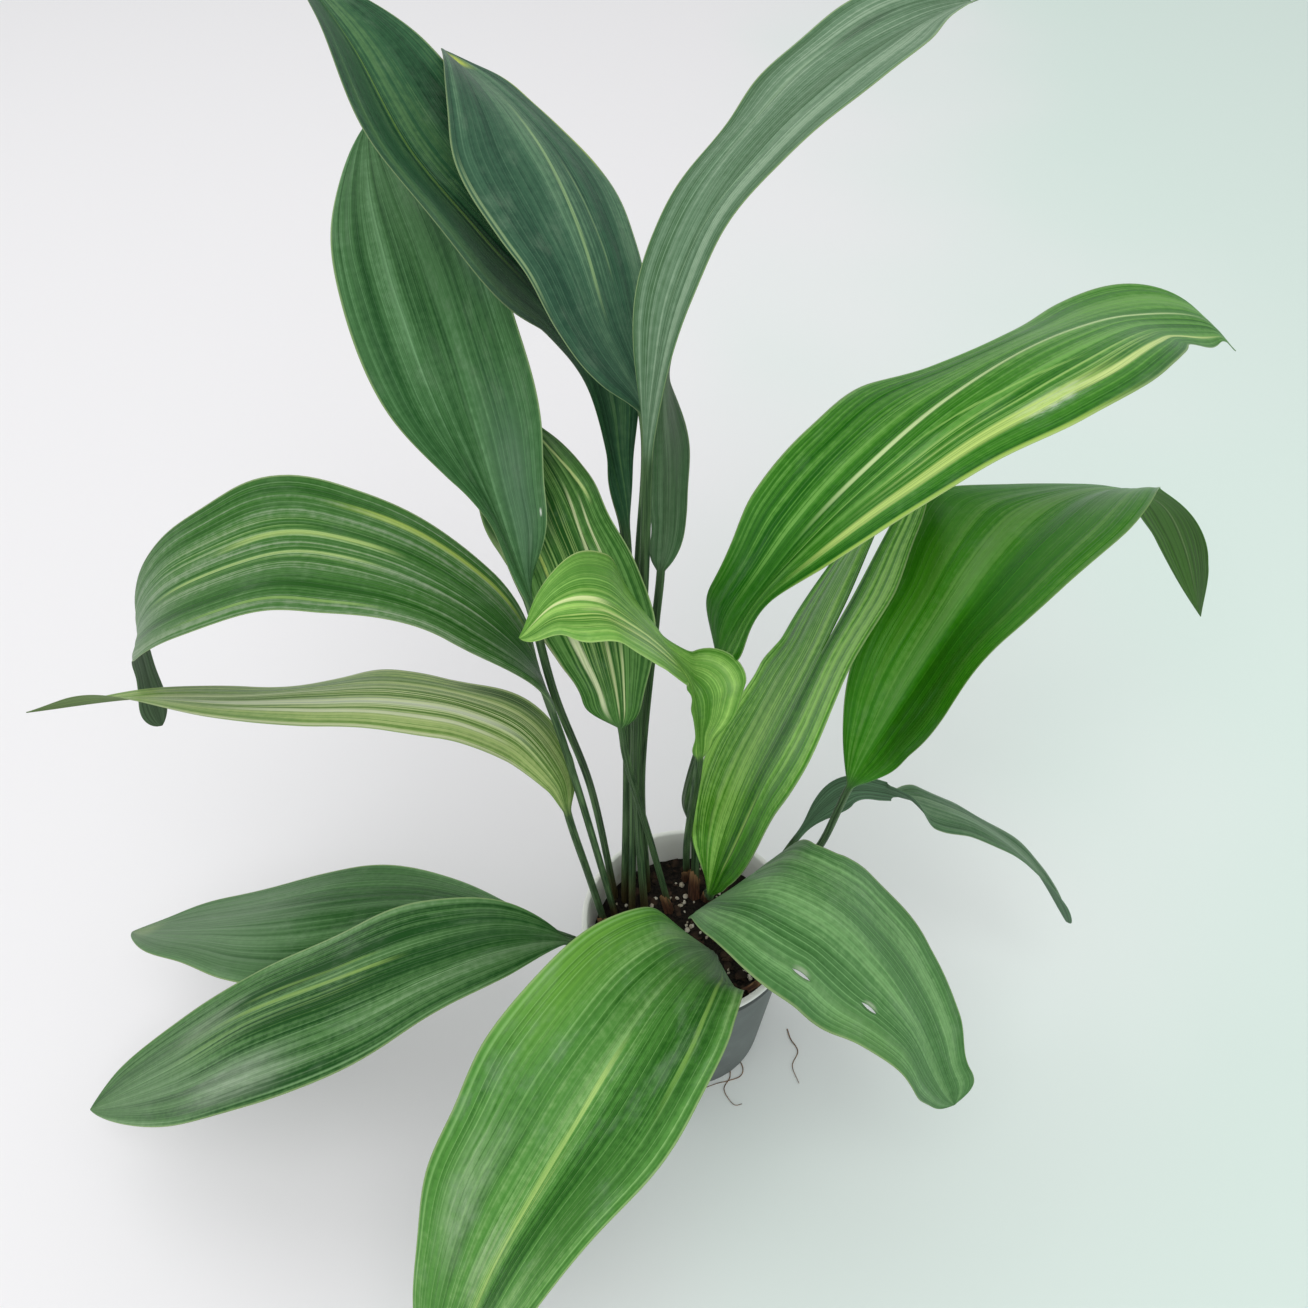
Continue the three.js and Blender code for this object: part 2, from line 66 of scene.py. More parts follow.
# The leaves, much as in the part's source: the run of the stalk and midrib, the point of it
# where the blade starts, its width, how blunt its ends are, its turn and fold in degrees, and
# how much wider or narrower than that form its left and its right side are. An opening is a
# slit along the veins, or, where it has no end, a tear that runs on to the tip.
LEAVES = {
    "leaf_back_left_high": dict(
        path=[(-45, 32, 126), (-41, 46, 282), (-41, 92, 430), (-48, 116, 466), (-61, 138, 510),
              (-85, 148, 551), (-116, 154, 590), (-152, 180, 623), (-182, 222, 656),
              (-216, 272, 675)],
        start=2, width=104, base=1.1, tip=0.78, stalk=6.4,
        turn=[3, 27, 23, 24], fold=[36, 20, 28],
        left=[1, 1, 1, 1, 1, 1.25, 1.25, 1.1, 1.03, 1, 1],
        right=[1, 0.8, 1, 1, 1, 1, 1, 1, 1, 1, 1]),
    "leaf_back_left_inner": dict(
        path=[(-40, 22, 126), (-37, 27, 281), (-33, 51, 434), (-30, 80, 527), (-48, 100, 570),
              (-61, 125, 600), (-79, 160, 622), (-103, 203, 634), (-140, 258, 640)],
        start=3, width=90, base=0.83, tip=0.78, stalk=5,
        turn=[22, 16, 36], fold=[14, -12, 12],
        left=[1, 1.4, 1.2, 1, 1.03, 1.04, 1.06, 1, 1, 1, 1],
        right=[1, 1, 1, 1, 1, 1, 0.96, 0.84, 0.85, 1, 1]),
    "leaf_left_upright": dict(
        path=[(-53, 34, 126), (-66, 36, 254), (-83, 22, 366), (-92, 20, 443), (-115, 76, 483),
              (-142, 144, 537), (-170, 216, 569), (-196, 288, 585)],
        start=3, width=99, base=0.99, tip=0.82, stalk=5,
        turn=[45, -25, -19], fold=[32, 22, 8],
        right=[1, 1.2, 1, 1, 1, 1, 1, 1, 1, 1, 1]),
    "leaf_back_right_high": dict(
        path=[(-31, 22, 126), (-35, 20, 278), (-29, 42, 458), (-27, 50, 522), (-24, 60, 562),
              (-17, 81, 595), (-1, 112, 621), (24, 152, 637), (69, 214, 648), (123, 276, 648),
              (164, 324, 640)],
        start=3, width=82, base=1.1, tip=0.5, stalk=5.5,
        turn=[-2, -20, -5], fold=[24, 1, 25],
        left=[1, 1, 1, 0.89, 0.85, 0.84, 0.96, 0.95, 1, 1, 1],
        right=[1, 1, 1, 0.78, 0.97, 1, 1.1, 1.14, 0.9, 1, 1]),
    "leaf_back_middle": dict(
        path=[(-29, 40, 126), (-32, 33, 274), (-23, 54, 395), (-20, 70, 420), (-19, 100, 448),
              (-19, 139, 469), (-18, 188, 484), (-15, 265, 488)],
        start=3, width=60, base=0.7, tip=0.82, stalk=5,
        turn=[-21, -60, -5], fold=[17, 20, 10],
        left=[1, 0.4, 0.4, 0.37, 0.4, 0.55, 0.8, 0.8, 0.8, 0.8, 1],
        right=[1, 1.08, 1.05, 1.3, 1.2, 0.9, 0.7, 0.7, 0.8, 0.8, 1]),
    "leaf_right_high": dict(
        path=[(6, 34, 126), (4, 38, 200), (-2.5, 31, 240), (-2, 23, 270), (5, 17, 325),
              (12, 13, 371), (14, 10, 406), (24, 13, 441), (43, 23, 470), (67, 38, 496),
              (97, 57, 519), (129, 79, 535), (165, 107, 541), (207, 142, 536), (254, 178, 522),
              (312, 206, 500), (336, 203, 480)],
        start=6, width=120, base=0.9, tip=0.8, stalk=6,
        turn=[-3, -10, -21, 15], fold=[36, -10, -4],
        left=[2.6, 1.14, 1, 1, 1.03, 0.75, 0.62, 0.82, 1.12, 1.25, 1],
        right=[1.6, 0.75, 1, 0.98, 0.93, 1.04, 1.14, 1.07, 0.9, 1, 1]),
    "leaf_right_middle": dict(
        path=[(24, 6, 126), (68, 3, 192), (85, 4, 232), (99, 10, 290), (117, 20, 333),
              (134, 30, 370), (161, 51, 411), (195, 84, 434), (234, 120, 433), (272, 143, 419),
              (302, 150, 399), (322, 143, 370), (338, 120, 329)],
        start=3, width=125, base=0.87, tip=0.87, stalk=5,
        turn=[35, -13, -34, 20], fold=[36, 9, -8],
        left=[1, 1, 1, 1, 1.16, 1.22, 0.78, 0.58, 0.9, 1.35, 1.6],
        right=[1, 0.9, 1, 0.92, 0.93, 1, 0.85, 0.5, 0.62, 1.2, 1.5]),
    "leaf_centre_striped": dict(
        path=[(-13, 22, 126), (-25, 20, 205), (-41, 0, 335), (-43, -3, 366), (-52, 15, 409),
              (-62, 40, 441), (-77, 76, 460), (-95, 118, 469), (-111, 152, 474)],
        start=3, width=88, base=0.71, tip=0.8, stalk=4.5,
        turn=[-44, -50, 10], fold=[5, 6, 0],
        left=[1.8, 0.95, 0.9, 0.95, 1, 1, 1.08, 1.18, 1.2, 1, 1],
        right=[1, 0.85, 0.93, 1.02, 0.9, 0.75, 0.7, 0.63, 0.64, 0.78, 1]),
    "leaf_centre_twisted": dict(
        path=[(0, 50, 126), (-1.5, 25, 200), (-0.5, 4, 268), (2, -18, 357), (1, -20, 384),
              (-1, -24, 409), (-6, -27, 436), (-20, -27, 461), (-36, -24, 476),
              (-53, -23, 488), (-72, -27, 490), (-91, -37, 478)],
        start=3, width=78, base=0.7, tip=0.64, stalk=5,
        turn=[-85, -80, -60, -15, 12, 17, 10, -10, -25], fold=[30, 0, 25],
        left=[0.5, 0.15, 0.12, 0.14, 0.2, 0.6, 1.45, 1.6, 1.4, 1.1, 1],
        right=[0.7, 0.5, 0.85, 1.02, 0.52, 0.65, 1.1, 1.35, 1.05, 0.5, 0.2]),
    "leaf_left_arched": dict(
        path=[(-53, 19, 126), (-60.5, 4, 216), (-73, 6, 304), (-84, 14, 358), (-96, 24, 392),
              (-123, 36, 418), (-158, 49, 433), (-201, 60, 441), (-232, 64, 442),
              (-270, 64, 430), (-315, 67, 402), (-342, 72, 366), (-349, 74, 328),
              (-350, 67, 280)],
        start=3, width=92, base=0.8, tip=0.63, stalk=5,
        turn=[36, -2, -21, -15, -22, 20], fold=[6, 12, 4],
        left=[2, 1.45, 1.1, 0.93, 0.93, 0.97, 1.1, 1, 0.6, 0.45, 1],
        right=[1, 1, 0.97, 0.95, 0.95, 1.05, 0.97, 0.95, 0.8, 0.45, 0.8]),
    "leaf_left_long": dict(
        path=[(-60, 10, 126), (-68, 2, 199), (-79, 4, 270), (-82, 9, 302), (-103, 22, 333),
              (-134, 26, 352), (-178, 26, 365), (-225, 24, 365), (-267, 22, 363),
              (-332, 24, 359), (-402, 23, 347)],
        start=2, width=74, base=0.93, tip=1, stalk=5,
        turn=[-50, 19, 34, 56], fold=[-14, -12, 17],
        right=[1, 1, 1, 1, 1, 1.35, 1.1, 1, 1, 1, 1]),
    "leaf_lower_left_back": dict(
        path=[(-46, 0, 126), (-60, -33, 165), (-86, -36, 187), (-127, -26, 196),
              (-183, -14, 188), (-248, -5, 163), (-320, 4, 132), (-409, 16, 101)],
        start=2, width=106, base=0.99, tip=0.8, stalk=5,
        turn=[45, 5, 34], fold=[5, -14, 6],
        left=[1, 1, 1, 1, 1, 1, 1, 1, 1, 1.3, 1.3],
        right=[1, 1, 1, 1, 1, 1, 1, 1, 1.05, 1.15, 1]),
    "leaf_lower_left_front": dict(
        path=[(-36, -12, 126), (-59, -52, 189), (-80, -60, 221), (-119, -68, 236),
              (-162, -78, 230), (-221, -88, 204), (-285, -94, 168), (-351, -98, 109),
              (-423, -98, 52)],
        start=2, width=100, base=0.77, tip=0.85, stalk=5,
        turn=[-13, 2, -5], fold=[19, -10, 14],
        left=[0.7, 1.03, 0.97, 1, 1, 1, 1, 1, 1, 1, 1]),
    "leaf_front_broad": dict(
        path=[(14, -14, 126), (14, -62, 195), (11, -75, 230), (-8, -99, 254), (-27, -128, 266),
              (-44, -159, 271), (-76, -206, 257), (-101, -240, 234), (-124, -268, 191),
              (-150, -293, 107)],
        start=2, width=127, base=0.6, tip=0.95, stalk=6,
        turn=[-14, -3, 18, -8], fold=[36, 24, 11],
        left=[1, 1, 1, 1, 1, 0.96, 1, 1, 1, 1, 1],
        right=[1, 1, 1.03, 1.03, 1.03, 0.97, 1, 1, 1, 1, 1]),
    "leaf_lower_right": dict(
        path=[(24, 20, 126), (15, -10, 180), (14, -41, 235), (25, -61, 279), (48, -74, 305),
              (76, -86, 301), (108, -97, 264), (134, -111, 224), (170, -129, 133)],
        start=2, width=118, base=0.6, tip=1, stalk=5,
        turn=[-24, -7, -7, 30], fold=[6, -14, 24],
        left=[1, 0.95, 1, 0.8, 0.83, 1.02, 1.12, 1.08, 0.98, 1.12, 3],
        right=[1, 0.66, 0.8, 1.04, 1.02, 0.99, 0.92, 0.93, 1.15, 1.35, 2],
        openings=[dict(at=-0.68, start=0.348, end=0.392, gap=1.3),
                  dict(at=-0.5, start=0.548, end=0.592, gap=1.3)]),
    "leaf_centre_right_torn": dict(
        path=[(15, 34, 126), (15, 2, 177), (19, 1, 231), (31, 9, 287), (49, 23, 340),
              (69, 47, 373), (91, 83, 394), (115, 125, 410), (138, 170, 419)],
        start=1, width=125, base=1.15, tip=1.05, stalk=6,
        turn=[-21, -52, -46], fold=[15, 1, -14],
        left=[1, 1, 1, 1, 0.97, 1, 0.9, 1, 1, 1, 1],
        right=[1, 1, 1, 1, 1.02, 1.27, 1.04, 1, 0.9, 1, 1],
        openings=[dict(at=-0.25, start=0.6, end=None, gap=11)]),
    "leaf_right_thin": dict(
        path=[(33, 18, 126), (56, 20, 170), (73, 26, 208), (90, 36, 229), (109, 46, 236),
              (132, 48, 232), (141, 45, 232), (174, 47, 214), (209, 47, 190), (249, 44, 149),
              (287, 32, 88)],
        start=2, width=46, base=1.15, tip=0.5, stalk=4.5,
        turn=[-140, -135, -75, -12, -18, -20, -16, -12, -9], fold=[9, -10, 24],
        left=[1, 1.9, 1.4, 1.5, 1.2, 1.4, 1.2, 0.9, 0.8, 1, 1],
        right=[1, 1.9, 1.3, 1.4, 1.3, 0.85, 0.75, 0.8, 1, 1, 1]),
}

# How each leaf looks. The colours are (red, green, blue) as seen, 0 to 255. tones are the
# dark, middle and light greens of the upper face. Places on a blade are v, across it from -1
# to 1, and s, from 0 at its base to 1 at its tip.

CREAM = (214, 228, 168)
DUSTY = (150, 170, 146)


def stripe(v, s, half, strength=1.0, cream=CREAM):
    """A pale stripe from v[0] at s[0] to v[1] at s[1]."""
    return dict(v=v, s=s, half=half, strength=strength, colour=cream, hairy=False)


def streaks(v, s, half, strength=1.0, cream=CREAM):
    """Many pale hair lines inside such a stripe."""
    return dict(v=v, s=s, half=half, strength=strength, colour=cream, hairy=True)


def tint_and_painted_light(v, s, half, colour, strength, broken=0.0):
    """A soft spot of colour at v, s with a half size across and along; broken makes it spotty. Some
    spots are the leaf's own tints, others are painted sheen and painted shade.
    """
    return dict(v=v, s=s, half=half, colour=colour, strength=strength, broken=broken)


DEFAULT_LOOK = dict(tones=[(38, 84, 40), (64, 110, 56), (96, 140, 84)], vein=0.3, pleat=0.4,
                    pleats=9, under=(98, 124, 92), stripes=[], patches=[], wave=0.3, waves=2.5,
                    dust=0.15, gloss=0.42, streaky=0.8)

LOOKS = {
    "leaf_back_left_high": dict(
        streaky=0.6, tones=[(20, 60, 36), (48, 92, 60), (84, 124, 78)], vein=0.2,
        stripes=[stripe((0.1, 0.02), (0.42, 0.98), 0.05, 0.75, (128, 168, 84))]),
    "leaf_back_left_inner": dict(
        streaky=0.55, tones=[(34, 70, 52), (58, 96, 72), (92, 128, 98)], vein=0.25,
        stripes=[stripe((0.0, -0.15), (0.2, 0.8), 0.04, 0.75, (150, 182, 126)),
                 stripe((-0.35, -0.33), (0.28, 0.6), 0.02, 0.4, (150, 182, 130)),
                 stripe((0.93, 0.93), (0.25, 0.62), 0.03, 0.5, (168, 196, 140)),
                 stripe((-0.97, -0.95), (0.55, 0.97), 0.04, 0.8, (180, 200, 96))],
        patches=[tint_and_painted_light(0.1, 0.95, (0.7, 0.045), (196, 212, 74), 0.85)]),
    "leaf_left_upright": dict(
        streaky=0.6, tones=[(34, 80, 38), (68, 114, 66), (104, 148, 102)], vein=0.3,
        patches=[tint_and_painted_light(-0.45, 0.2, (0.5, 0.26), (92, 124, 100), 0.5),
                 tint_and_painted_light(-0.8, 0.75, (0.4, 0.3), (62, 92, 86), 0.6),
                 tint_and_painted_light(-0.85, 0.15, (0.035, 0.009), (236, 240, 232), 1.0)]),
    "leaf_back_right_high": dict(
        tones=[(66, 102, 66), (98, 130, 100), (138, 164, 136)], vein=0.4, gloss=0.5,
        stripes=[stripe((-0.1, -0.4), (0.2, 0.45), 0.02, 0.5, (150, 178, 142)),
                 stripe((0.4, 0.5), (0.4, 0.7), 0.025, 0.5, (150, 178, 142))],
        patches=[tint_and_painted_light(0.42, 0.78, (0.14, 0.1), (44, 72, 48), 0.7)]),
    "leaf_back_middle": dict(
        streaky=0.6, tones=[(60, 100, 60), (86, 122, 84), (110, 144, 106)]),
    "leaf_right_high": dict(
        tones=[(22, 92, 0), (58, 124, 28), (104, 160, 70)], vein=0.22, gloss=0.36,
        stripes=[stripe((0.04, 0.0), (0.2, 0.98), 0.042, 1.0, (206, 228, 164)),
                 stripe((-0.2, -0.17), (0.14, 0.4), 0.014, 0.6, (150, 194, 106)),
                 stripe((-0.17, -0.4), (0.37, 0.6), 0.02, 0.7, (150, 194, 100)),
                 stripe((-0.66, -0.62), (0.16, 0.62), 0.09, 0.95, (192, 218, 120)),
                 stripe((-0.66, -0.74), (0.5, 0.97), 0.05, 0.95, (206, 226, 140)),
                 stripe((-0.97, -0.97), (0.15, 0.6), 0.05, 0.8, (176, 208, 96)),
                 streaks((-0.42, -0.5), (0.25, 0.8), 0.22, 0.6, (168, 204, 112)),
                 streaks((0.35, 0.3), (0.08, 0.5), 0.3, 0.35, (120, 176, 80))],
        patches=[tint_and_painted_light(0.5, 0.1, (1.4, 0.14), (20, 84, 10), 0.6),
                 tint_and_painted_light(-0.66, 0.5, (0.14, 0.07), (214, 226, 208), 0.9, 1.0)]),
    "leaf_right_middle": dict(
        streaky=0.6, tones=[(36, 116, 4), (60, 136, 20), (104, 164, 66)], vein=0.2, gloss=0.34,
        under=(84, 134, 56),
        stripes=[stripe((0.0, 0.0), (0.6, 0.99), 0.03, 0.6, (128, 176, 84))],
        # the first spot, a pale band beside the midrib, is painted sheen
        patches=[tint_and_painted_light(0.18, 0.3, (0.16, 0.36), (110, 160, 84), 0.55),
                 tint_and_painted_light(0.6, 0.32, (0.26, 0.26), (74, 148, 30), 0.6),
                 tint_and_painted_light(0.0, 0.62, (0.9, 0.1), (98, 140, 80), 0.4),
                 tint_and_painted_light(-0.5, 0.25, (0.3, 0.3), (30, 92, 10), 0.5)]),
    "leaf_centre_striped": dict(
        streaky=1, tones=[(28, 78, 20), (56, 104, 40), (96, 144, 72)], vein=0.25,
        stripes=[stripe((-0.75, -0.5), (0.58, 0.92), 0.045, 0.95, (196, 216, 140)),
                 stripe((-0.2, -0.35), (0.4, 0.68), 0.05, 0.9, (206, 217, 166)),
                 stripe((-0.45, -0.55), (0.38, 0.62), 0.035, 0.85, (206, 217, 166)),
                 stripe((0.34, 0.5), (0.03, 0.32), 0.1, 1.0, (214, 224, 178)),
                 stripe((-0.1, -0.1), (0.03, 0.28), 0.05, 0.95, (206, 217, 160)),
                 stripe((-0.36, -0.36), (0.03, 0.26), 0.04, 0.9, (206, 217, 160)),
                 stripe((0.5, 0.5), (0.46, 0.64), 0.03, 0.8, (190, 212, 110)),
                 stripe((0.96, 0.96), (0.1, 0.7), 0.04, 0.8, (200, 214, 160)),
                 streaks((0.1, 0.0), (0.05, 0.95), 0.8, 0.45, (170, 200, 120))]),
    "leaf_centre_twisted": dict(
        tones=[(74, 130, 40), (110, 162, 70), (160, 206, 104)], vein=0.4,
        under=(120, 160, 90),
        stripes=[stripe((-0.06, -0.12), (0.74, 0.99), 0.06, 1.0, (224, 234, 170)),
                 stripe((0.06, 0.2), (0.5, 0.82), 0.06, 0.9, (214, 230, 150)),
                 stripe((0.34, 0.4), (0.5, 0.78), 0.05, 0.8, (206, 226, 140)),
                 stripe((-0.98, -0.98), (0.5, 0.98), 0.03, 0.6, (190, 212, 130)),
                 streaks((0.2, 0.2), (0.3, 0.98), 0.7, 0.6, (200, 222, 130))],
        patches=[tint_and_painted_light(-0.55, 0.8, (0.35, 0.14), (78, 132, 52), 0.6)]),
    "leaf_left_arched": dict(
        tones=[(32, 84, 18), (64, 112, 48), (137, 158, 126)], vein=0.3,
        stripes=[stripe((0.0, 0.02), (0.33, 0.72), 0.035, 0.8, (180, 204, 130)),
                 stripe((-0.27, -0.22), (0.32, 0.58), 0.04, 0.8, (176, 200, 120)),
                 stripe((-0.78, -0.72), (0.12, 0.42), 0.06, 0.85, (166, 190, 92)),
                 stripe((0.8, 0.8), (0.3, 0.62), 0.03, 0.6, (150, 184, 100)),
                 streaks((-0.2, -0.1), (0.3, 0.75), 0.5, 0.5, (150, 184, 110))],
        # the first spot, greyish toward the tip, is painted sheen
        patches=[tint_and_painted_light(0.0, 0.85, (1.2, 0.26), (122, 150, 120), 0.55),
                 tint_and_painted_light(0.0, 0.1, (1.2, 0.16), (28, 76, 24), 0.4)]),
    "leaf_left_long": dict(
        streaky=1, tones=[(84, 122, 50), (124, 158, 82), (176, 196, 124)], vein=0.4,
        under=(122, 150, 90),
        stripes=[stripe((0.3, 0.3), (0.16, 0.8), 0.1, 0.85, (223, 228, 204)),
                 stripe((0.6, 0.55), (0.2, 0.7), 0.06, 0.85, (223, 228, 196)),
                 stripe((-0.1, -0.05), (0.2, 0.9), 0.05, 0.7, (204, 214, 160)),
                 stripe((0.96, 0.94), (0.05, 0.9), 0.05, 0.8, (214, 220, 176)),
                 stripe((-0.96, -0.94), (0.05, 0.9), 0.05, 0.7, (196, 208, 150)),
                 streaks((0.1, 0.1), (0.05, 0.95), 0.8, 0.95, (214, 224, 172))],
        patches=[tint_and_painted_light(-0.75, 0.25, (0.3, 0.14), (40, 78, 40), 0.85),
                 tint_and_painted_light(-0.3, 0.12, (0.5, 0.14), (96, 128, 60), 0.4)]),
    "leaf_lower_left_back": dict(
        streaky=0.55, tones=[(24, 76, 18), (62, 106, 54), (98, 140, 88)], vein=0.25,
        # the first spot, greyish over the outer half, is painted sheen
        patches=[tint_and_painted_light(0.0, 0.86, (1.6, 0.4), (112, 138, 108), 0.75),
                 tint_and_painted_light(0.0, 0.97, (1.0, 0.05), (160, 178, 130), 0.4)]),
    "leaf_lower_left_front": dict(
        streaky=0.6, tones=[(20, 72, 18), (82, 126, 70), (134, 168, 122)], vein=0.3,
        stripes=[stripe((-0.22, -0.36), (0.26, 0.66), 0.04, 0.7, (146, 180, 92)),
                 stripe((-0.42, -0.5), (0.3, 0.6), 0.03, 0.5, (136, 174, 86)),
                 streaks((-0.2, -0.2), (0.3, 0.8), 0.4, 0.4, (140, 176, 100))],
        # the first three spots, pale and greyish, are painted sheen
        patches=[tint_and_painted_light(0.6, 0.6, (0.4, 0.18), (158, 176, 152), 0.7, 0.3),
                 tint_and_painted_light(-0.5, 0.68, (0.3, 0.12), (150, 170, 140), 0.6, 0.3),
                 tint_and_painted_light(0.0, 0.85, (1.4, 0.22), (112, 140, 106), 0.6),
                 tint_and_painted_light(0.0, 0.08, (1.4, 0.26), (28, 78, 28), 0.5)]),
    "leaf_front_broad": dict(
        streaky=0.4, tones=[(34, 92, 20), (80, 138, 58), (140, 184, 112)], vein=0.34, dust=0.3,
        stripes=[stripe((0.0, 0.1), (0.27, 0.8), 0.035, 0.95, (176, 208, 120)),
                 stripe((0.0, 0.04), (0.42, 0.8), 0.02, 0.7, (160, 198, 108)),
                 stripe((0.6, 0.7), (0.03, 0.36), 0.035, 0.75, (140, 184, 90)),
                 streaks((0.05, 0.1), (0.45, 0.95), 0.16, 0.8, (168, 202, 116))],
        # the second, third and fourth spots, greyish at the base and pale in the middle, are painted
        # sheen
        patches=[tint_and_painted_light(-0.85, 0.26, (0.5, 0.2), (112, 168, 62), 0.65),
                 tint_and_painted_light(0.0, 0.03, (1.5, 0.11), (120, 150, 112), 0.55),
                 tint_and_painted_light(-0.55, 0.6, (0.3, 0.18), (150, 182, 134), 0.7, 0.45),
                 tint_and_painted_light(-0.1, 0.68, (0.12, 0.1), (170, 192, 152), 0.6, 0.5),
                 tint_and_painted_light(0.65, 0.5, (0.3, 0.14), (44, 98, 30), 0.6)]),
    "leaf_lower_right": dict(
        streaky=0.35, tones=[(50, 100, 42), (82, 130, 72), (124, 170, 108)], vein=0.42,
        # the second spot, greyish at the base of the blade, is painted sheen
        patches=[tint_and_painted_light(-0.9, 0.6, (0.4, 0.2), (104, 150, 84), 0.55),
                 tint_and_painted_light(0.0, 0.08, (1.2, 0.16), (88, 122, 90), 0.5),
                 tint_and_painted_light(-0.68, 0.37, (0.04, 0.026), (206, 214, 190), 0.45),
                 tint_and_painted_light(-0.5, 0.57, (0.04, 0.026), (206, 214, 190), 0.45)]),
    "leaf_centre_right_torn": dict(
        streaky=0.7, tones=[(12, 84, 0), (70, 144, 20), (150, 206, 96)], vein=0.3, gloss=0.34,
        pleat=1.0,
        stripes=[stripe((-0.45, -0.47), (0.1, 0.38), 0.06, 0.8, (176, 206, 112)),
                 streaks((0.1, 0.1), (0.1, 0.9), 0.8, 0.4, (160, 206, 100))],
        # this pale spot is painted sheen
        patches=[tint_and_painted_light(0.25, 0.38, (0.3, 0.2), (150, 196, 104), 0.3, 0.3)]),
    "leaf_right_thin": dict(
        tones=[(54, 92, 54), (84, 120, 84), (116, 146, 110)], vein=0.3,
        under=(100, 138, 104),
        stripes=[stripe((0.0, -0.18), (0.42, 0.8), 0.09, 0.8, (130, 160, 128))]),
}


# ---- objects -------------------------------------------------------------

def add_object(name, data):
    """Puts a mesh, a curve, a light or a camera in the scene."""
    made = bpy.data.objects.new(name, data)
    bpy.context.scene.collection.objects.link(made)
    return made


def add_solid(name, mesh):
    """Puts a finished bmesh in the scene, with smooth faces."""
    data = bpy.data.meshes.new(name)
    mesh.to_mesh(data)
    mesh.free()
    data.shade_smooth()
    return add_object(name, data)


def circle(mesh, r, z, segments):
    """A ring of points in a bmesh about Z, in millimetres."""
    angles = [2 * math.pi * k / segments for k in range(segments)]
    return [mesh.verts.new((r * MM * math.cos(a), r * MM * math.sin(a), z * MM)) for a in angles]


# ---- node graphs ---------------------------------------------------------

def seen(colour):
    """A colour as seen, 0 to 255, as the linear colour that a shader takes."""
    part = [c / 255 for c in colour]
    return [c / 12.92 if c <= 0.04045 else ((c + 0.055) / 1.055) ** 2.4 for c in part] + [1.0]


class Value:
    """What comes out of a node, with sums and products written as such."""

    def __init__(self, graph, socket):
        self.graph, self.socket = graph, socket

    def __add__(self, other):
        return self.graph.math("ADD", self, other)

    def __sub__(self, other):
        return self.graph.math("SUBTRACT", self, other)

    def __mul__(self, other):
        return self.graph.math("MULTIPLY", self, other)

    def __abs__(self):
        return self.graph.math("ABSOLUTE", self)


class Graph:
    """The nodes of one material, made by short calls that take values or plain numbers."""

    def __init__(self, name):
        self.material = bpy.data.materials.new(name)
        self.material.use_nodes = True
        self.tree = self.material.node_tree
        self.tree.nodes.clear()
        self.shader = self.tree.nodes.new("ShaderNodeBsdfPrincipled")
        output = self.tree.nodes.new("ShaderNodeOutputMaterial")
        self.tree.links.new(self.shader.outputs["BSDF"], output.inputs["Surface"])

    def feed(self, node, values):
        """Gives a node's inputs their values, by name or number; None leaves one alone."""
        for key, value in values.items():
            if isinstance(value, Value):
                self.tree.links.new(value.socket, node.inputs[key])
            elif value is not None:
                node.inputs[key].default_value = value

    def new(self, kind, values, output=0, **settings):
        """An output of a new node that has these settings and takes these values."""
        node = self.tree.nodes.new(kind)
        for key, value in settings.items():
            setattr(node, key, value)
        self.feed(node, values)
        return Value(self, node.outputs[output])

    def math(self, operation, *values):
        return self.new("ShaderNodeMath", dict(enumerate(values)), operation=operation)

    def step(self, x, low, high, bottom=0.0, top=1.0):
        """From bottom to top as x goes from low to high, smoothly; low may be above high."""
        if low > high:
            low, high, bottom, top = high, low, top, bottom
        values = dict(enumerate((x, low, high, bottom, top)))
        return self.new("ShaderNodeMapRange", values, interpolation_type="SMOOTHSTEP")

    def mix(self, share, a, b):
        """From a to b as share goes from 0 to 1; each is a value or a colour as seen."""
        a, b = (c if isinstance(c, Value) else seen(c) for c in (a, b))
        return self.new("ShaderNodeMix", {0: share, 6: a, 7: b}, 2, data_type="RGBA")

    def vector(self, x, y, z):
        return self.new("ShaderNodeCombineXYZ", {0: x, 1: y, 2: z})

    def split(self, vector):
        x = self.new("ShaderNodeSeparateXYZ", {0: vector})
        return [Value(self, socket) for socket in x.socket.node.outputs]

    def noise(self, vector, scale=1.0, detail=2.0, rough=0.5):
        values = dict(Vector=vector, Scale=scale, Detail=detail, Roughness=rough)
        return self.new("ShaderNodeTexNoise", values, "Fac")

    def attribute(self, name):
        return self.new("ShaderNodeAttribute", {}, "Vector", attribute_name=name)

    def place(self):
        return self.new("ShaderNodeTexCoord", {}, "Object")

    def bump(self, height, distance, strength=1.0, normal=None):
        values = dict(Distance=distance, Strength=strength, Height=height, Normal=normal)
        return self.new("ShaderNodeBump", values)

    def finish(self, colour, roughness, normal=None, specular=0.5):
        values = {"Base Color": colour, "Roughness": roughness, "Normal": normal}
        self.feed(self.shader, {**values, "Specular IOR Level": specular})
        return self.material


# ---- the leaves' shape ---------------------------------------------------

def smooth(x):
    x = np.clip(x, 0.0, 1.0)
    return x * x * (3 - 2 * x)


def along(values, s):
    """Values given at even steps from 0 to 1, read smoothly at s."""
    values = np.asarray(values, float)
    place = np.clip(s, 0, 1) * (len(values) - 1)
    i = np.minimum(place.astype(int), len(values) - 2)
    return values[i] + (values[i + 1] - values[i]) * smooth(place - i)


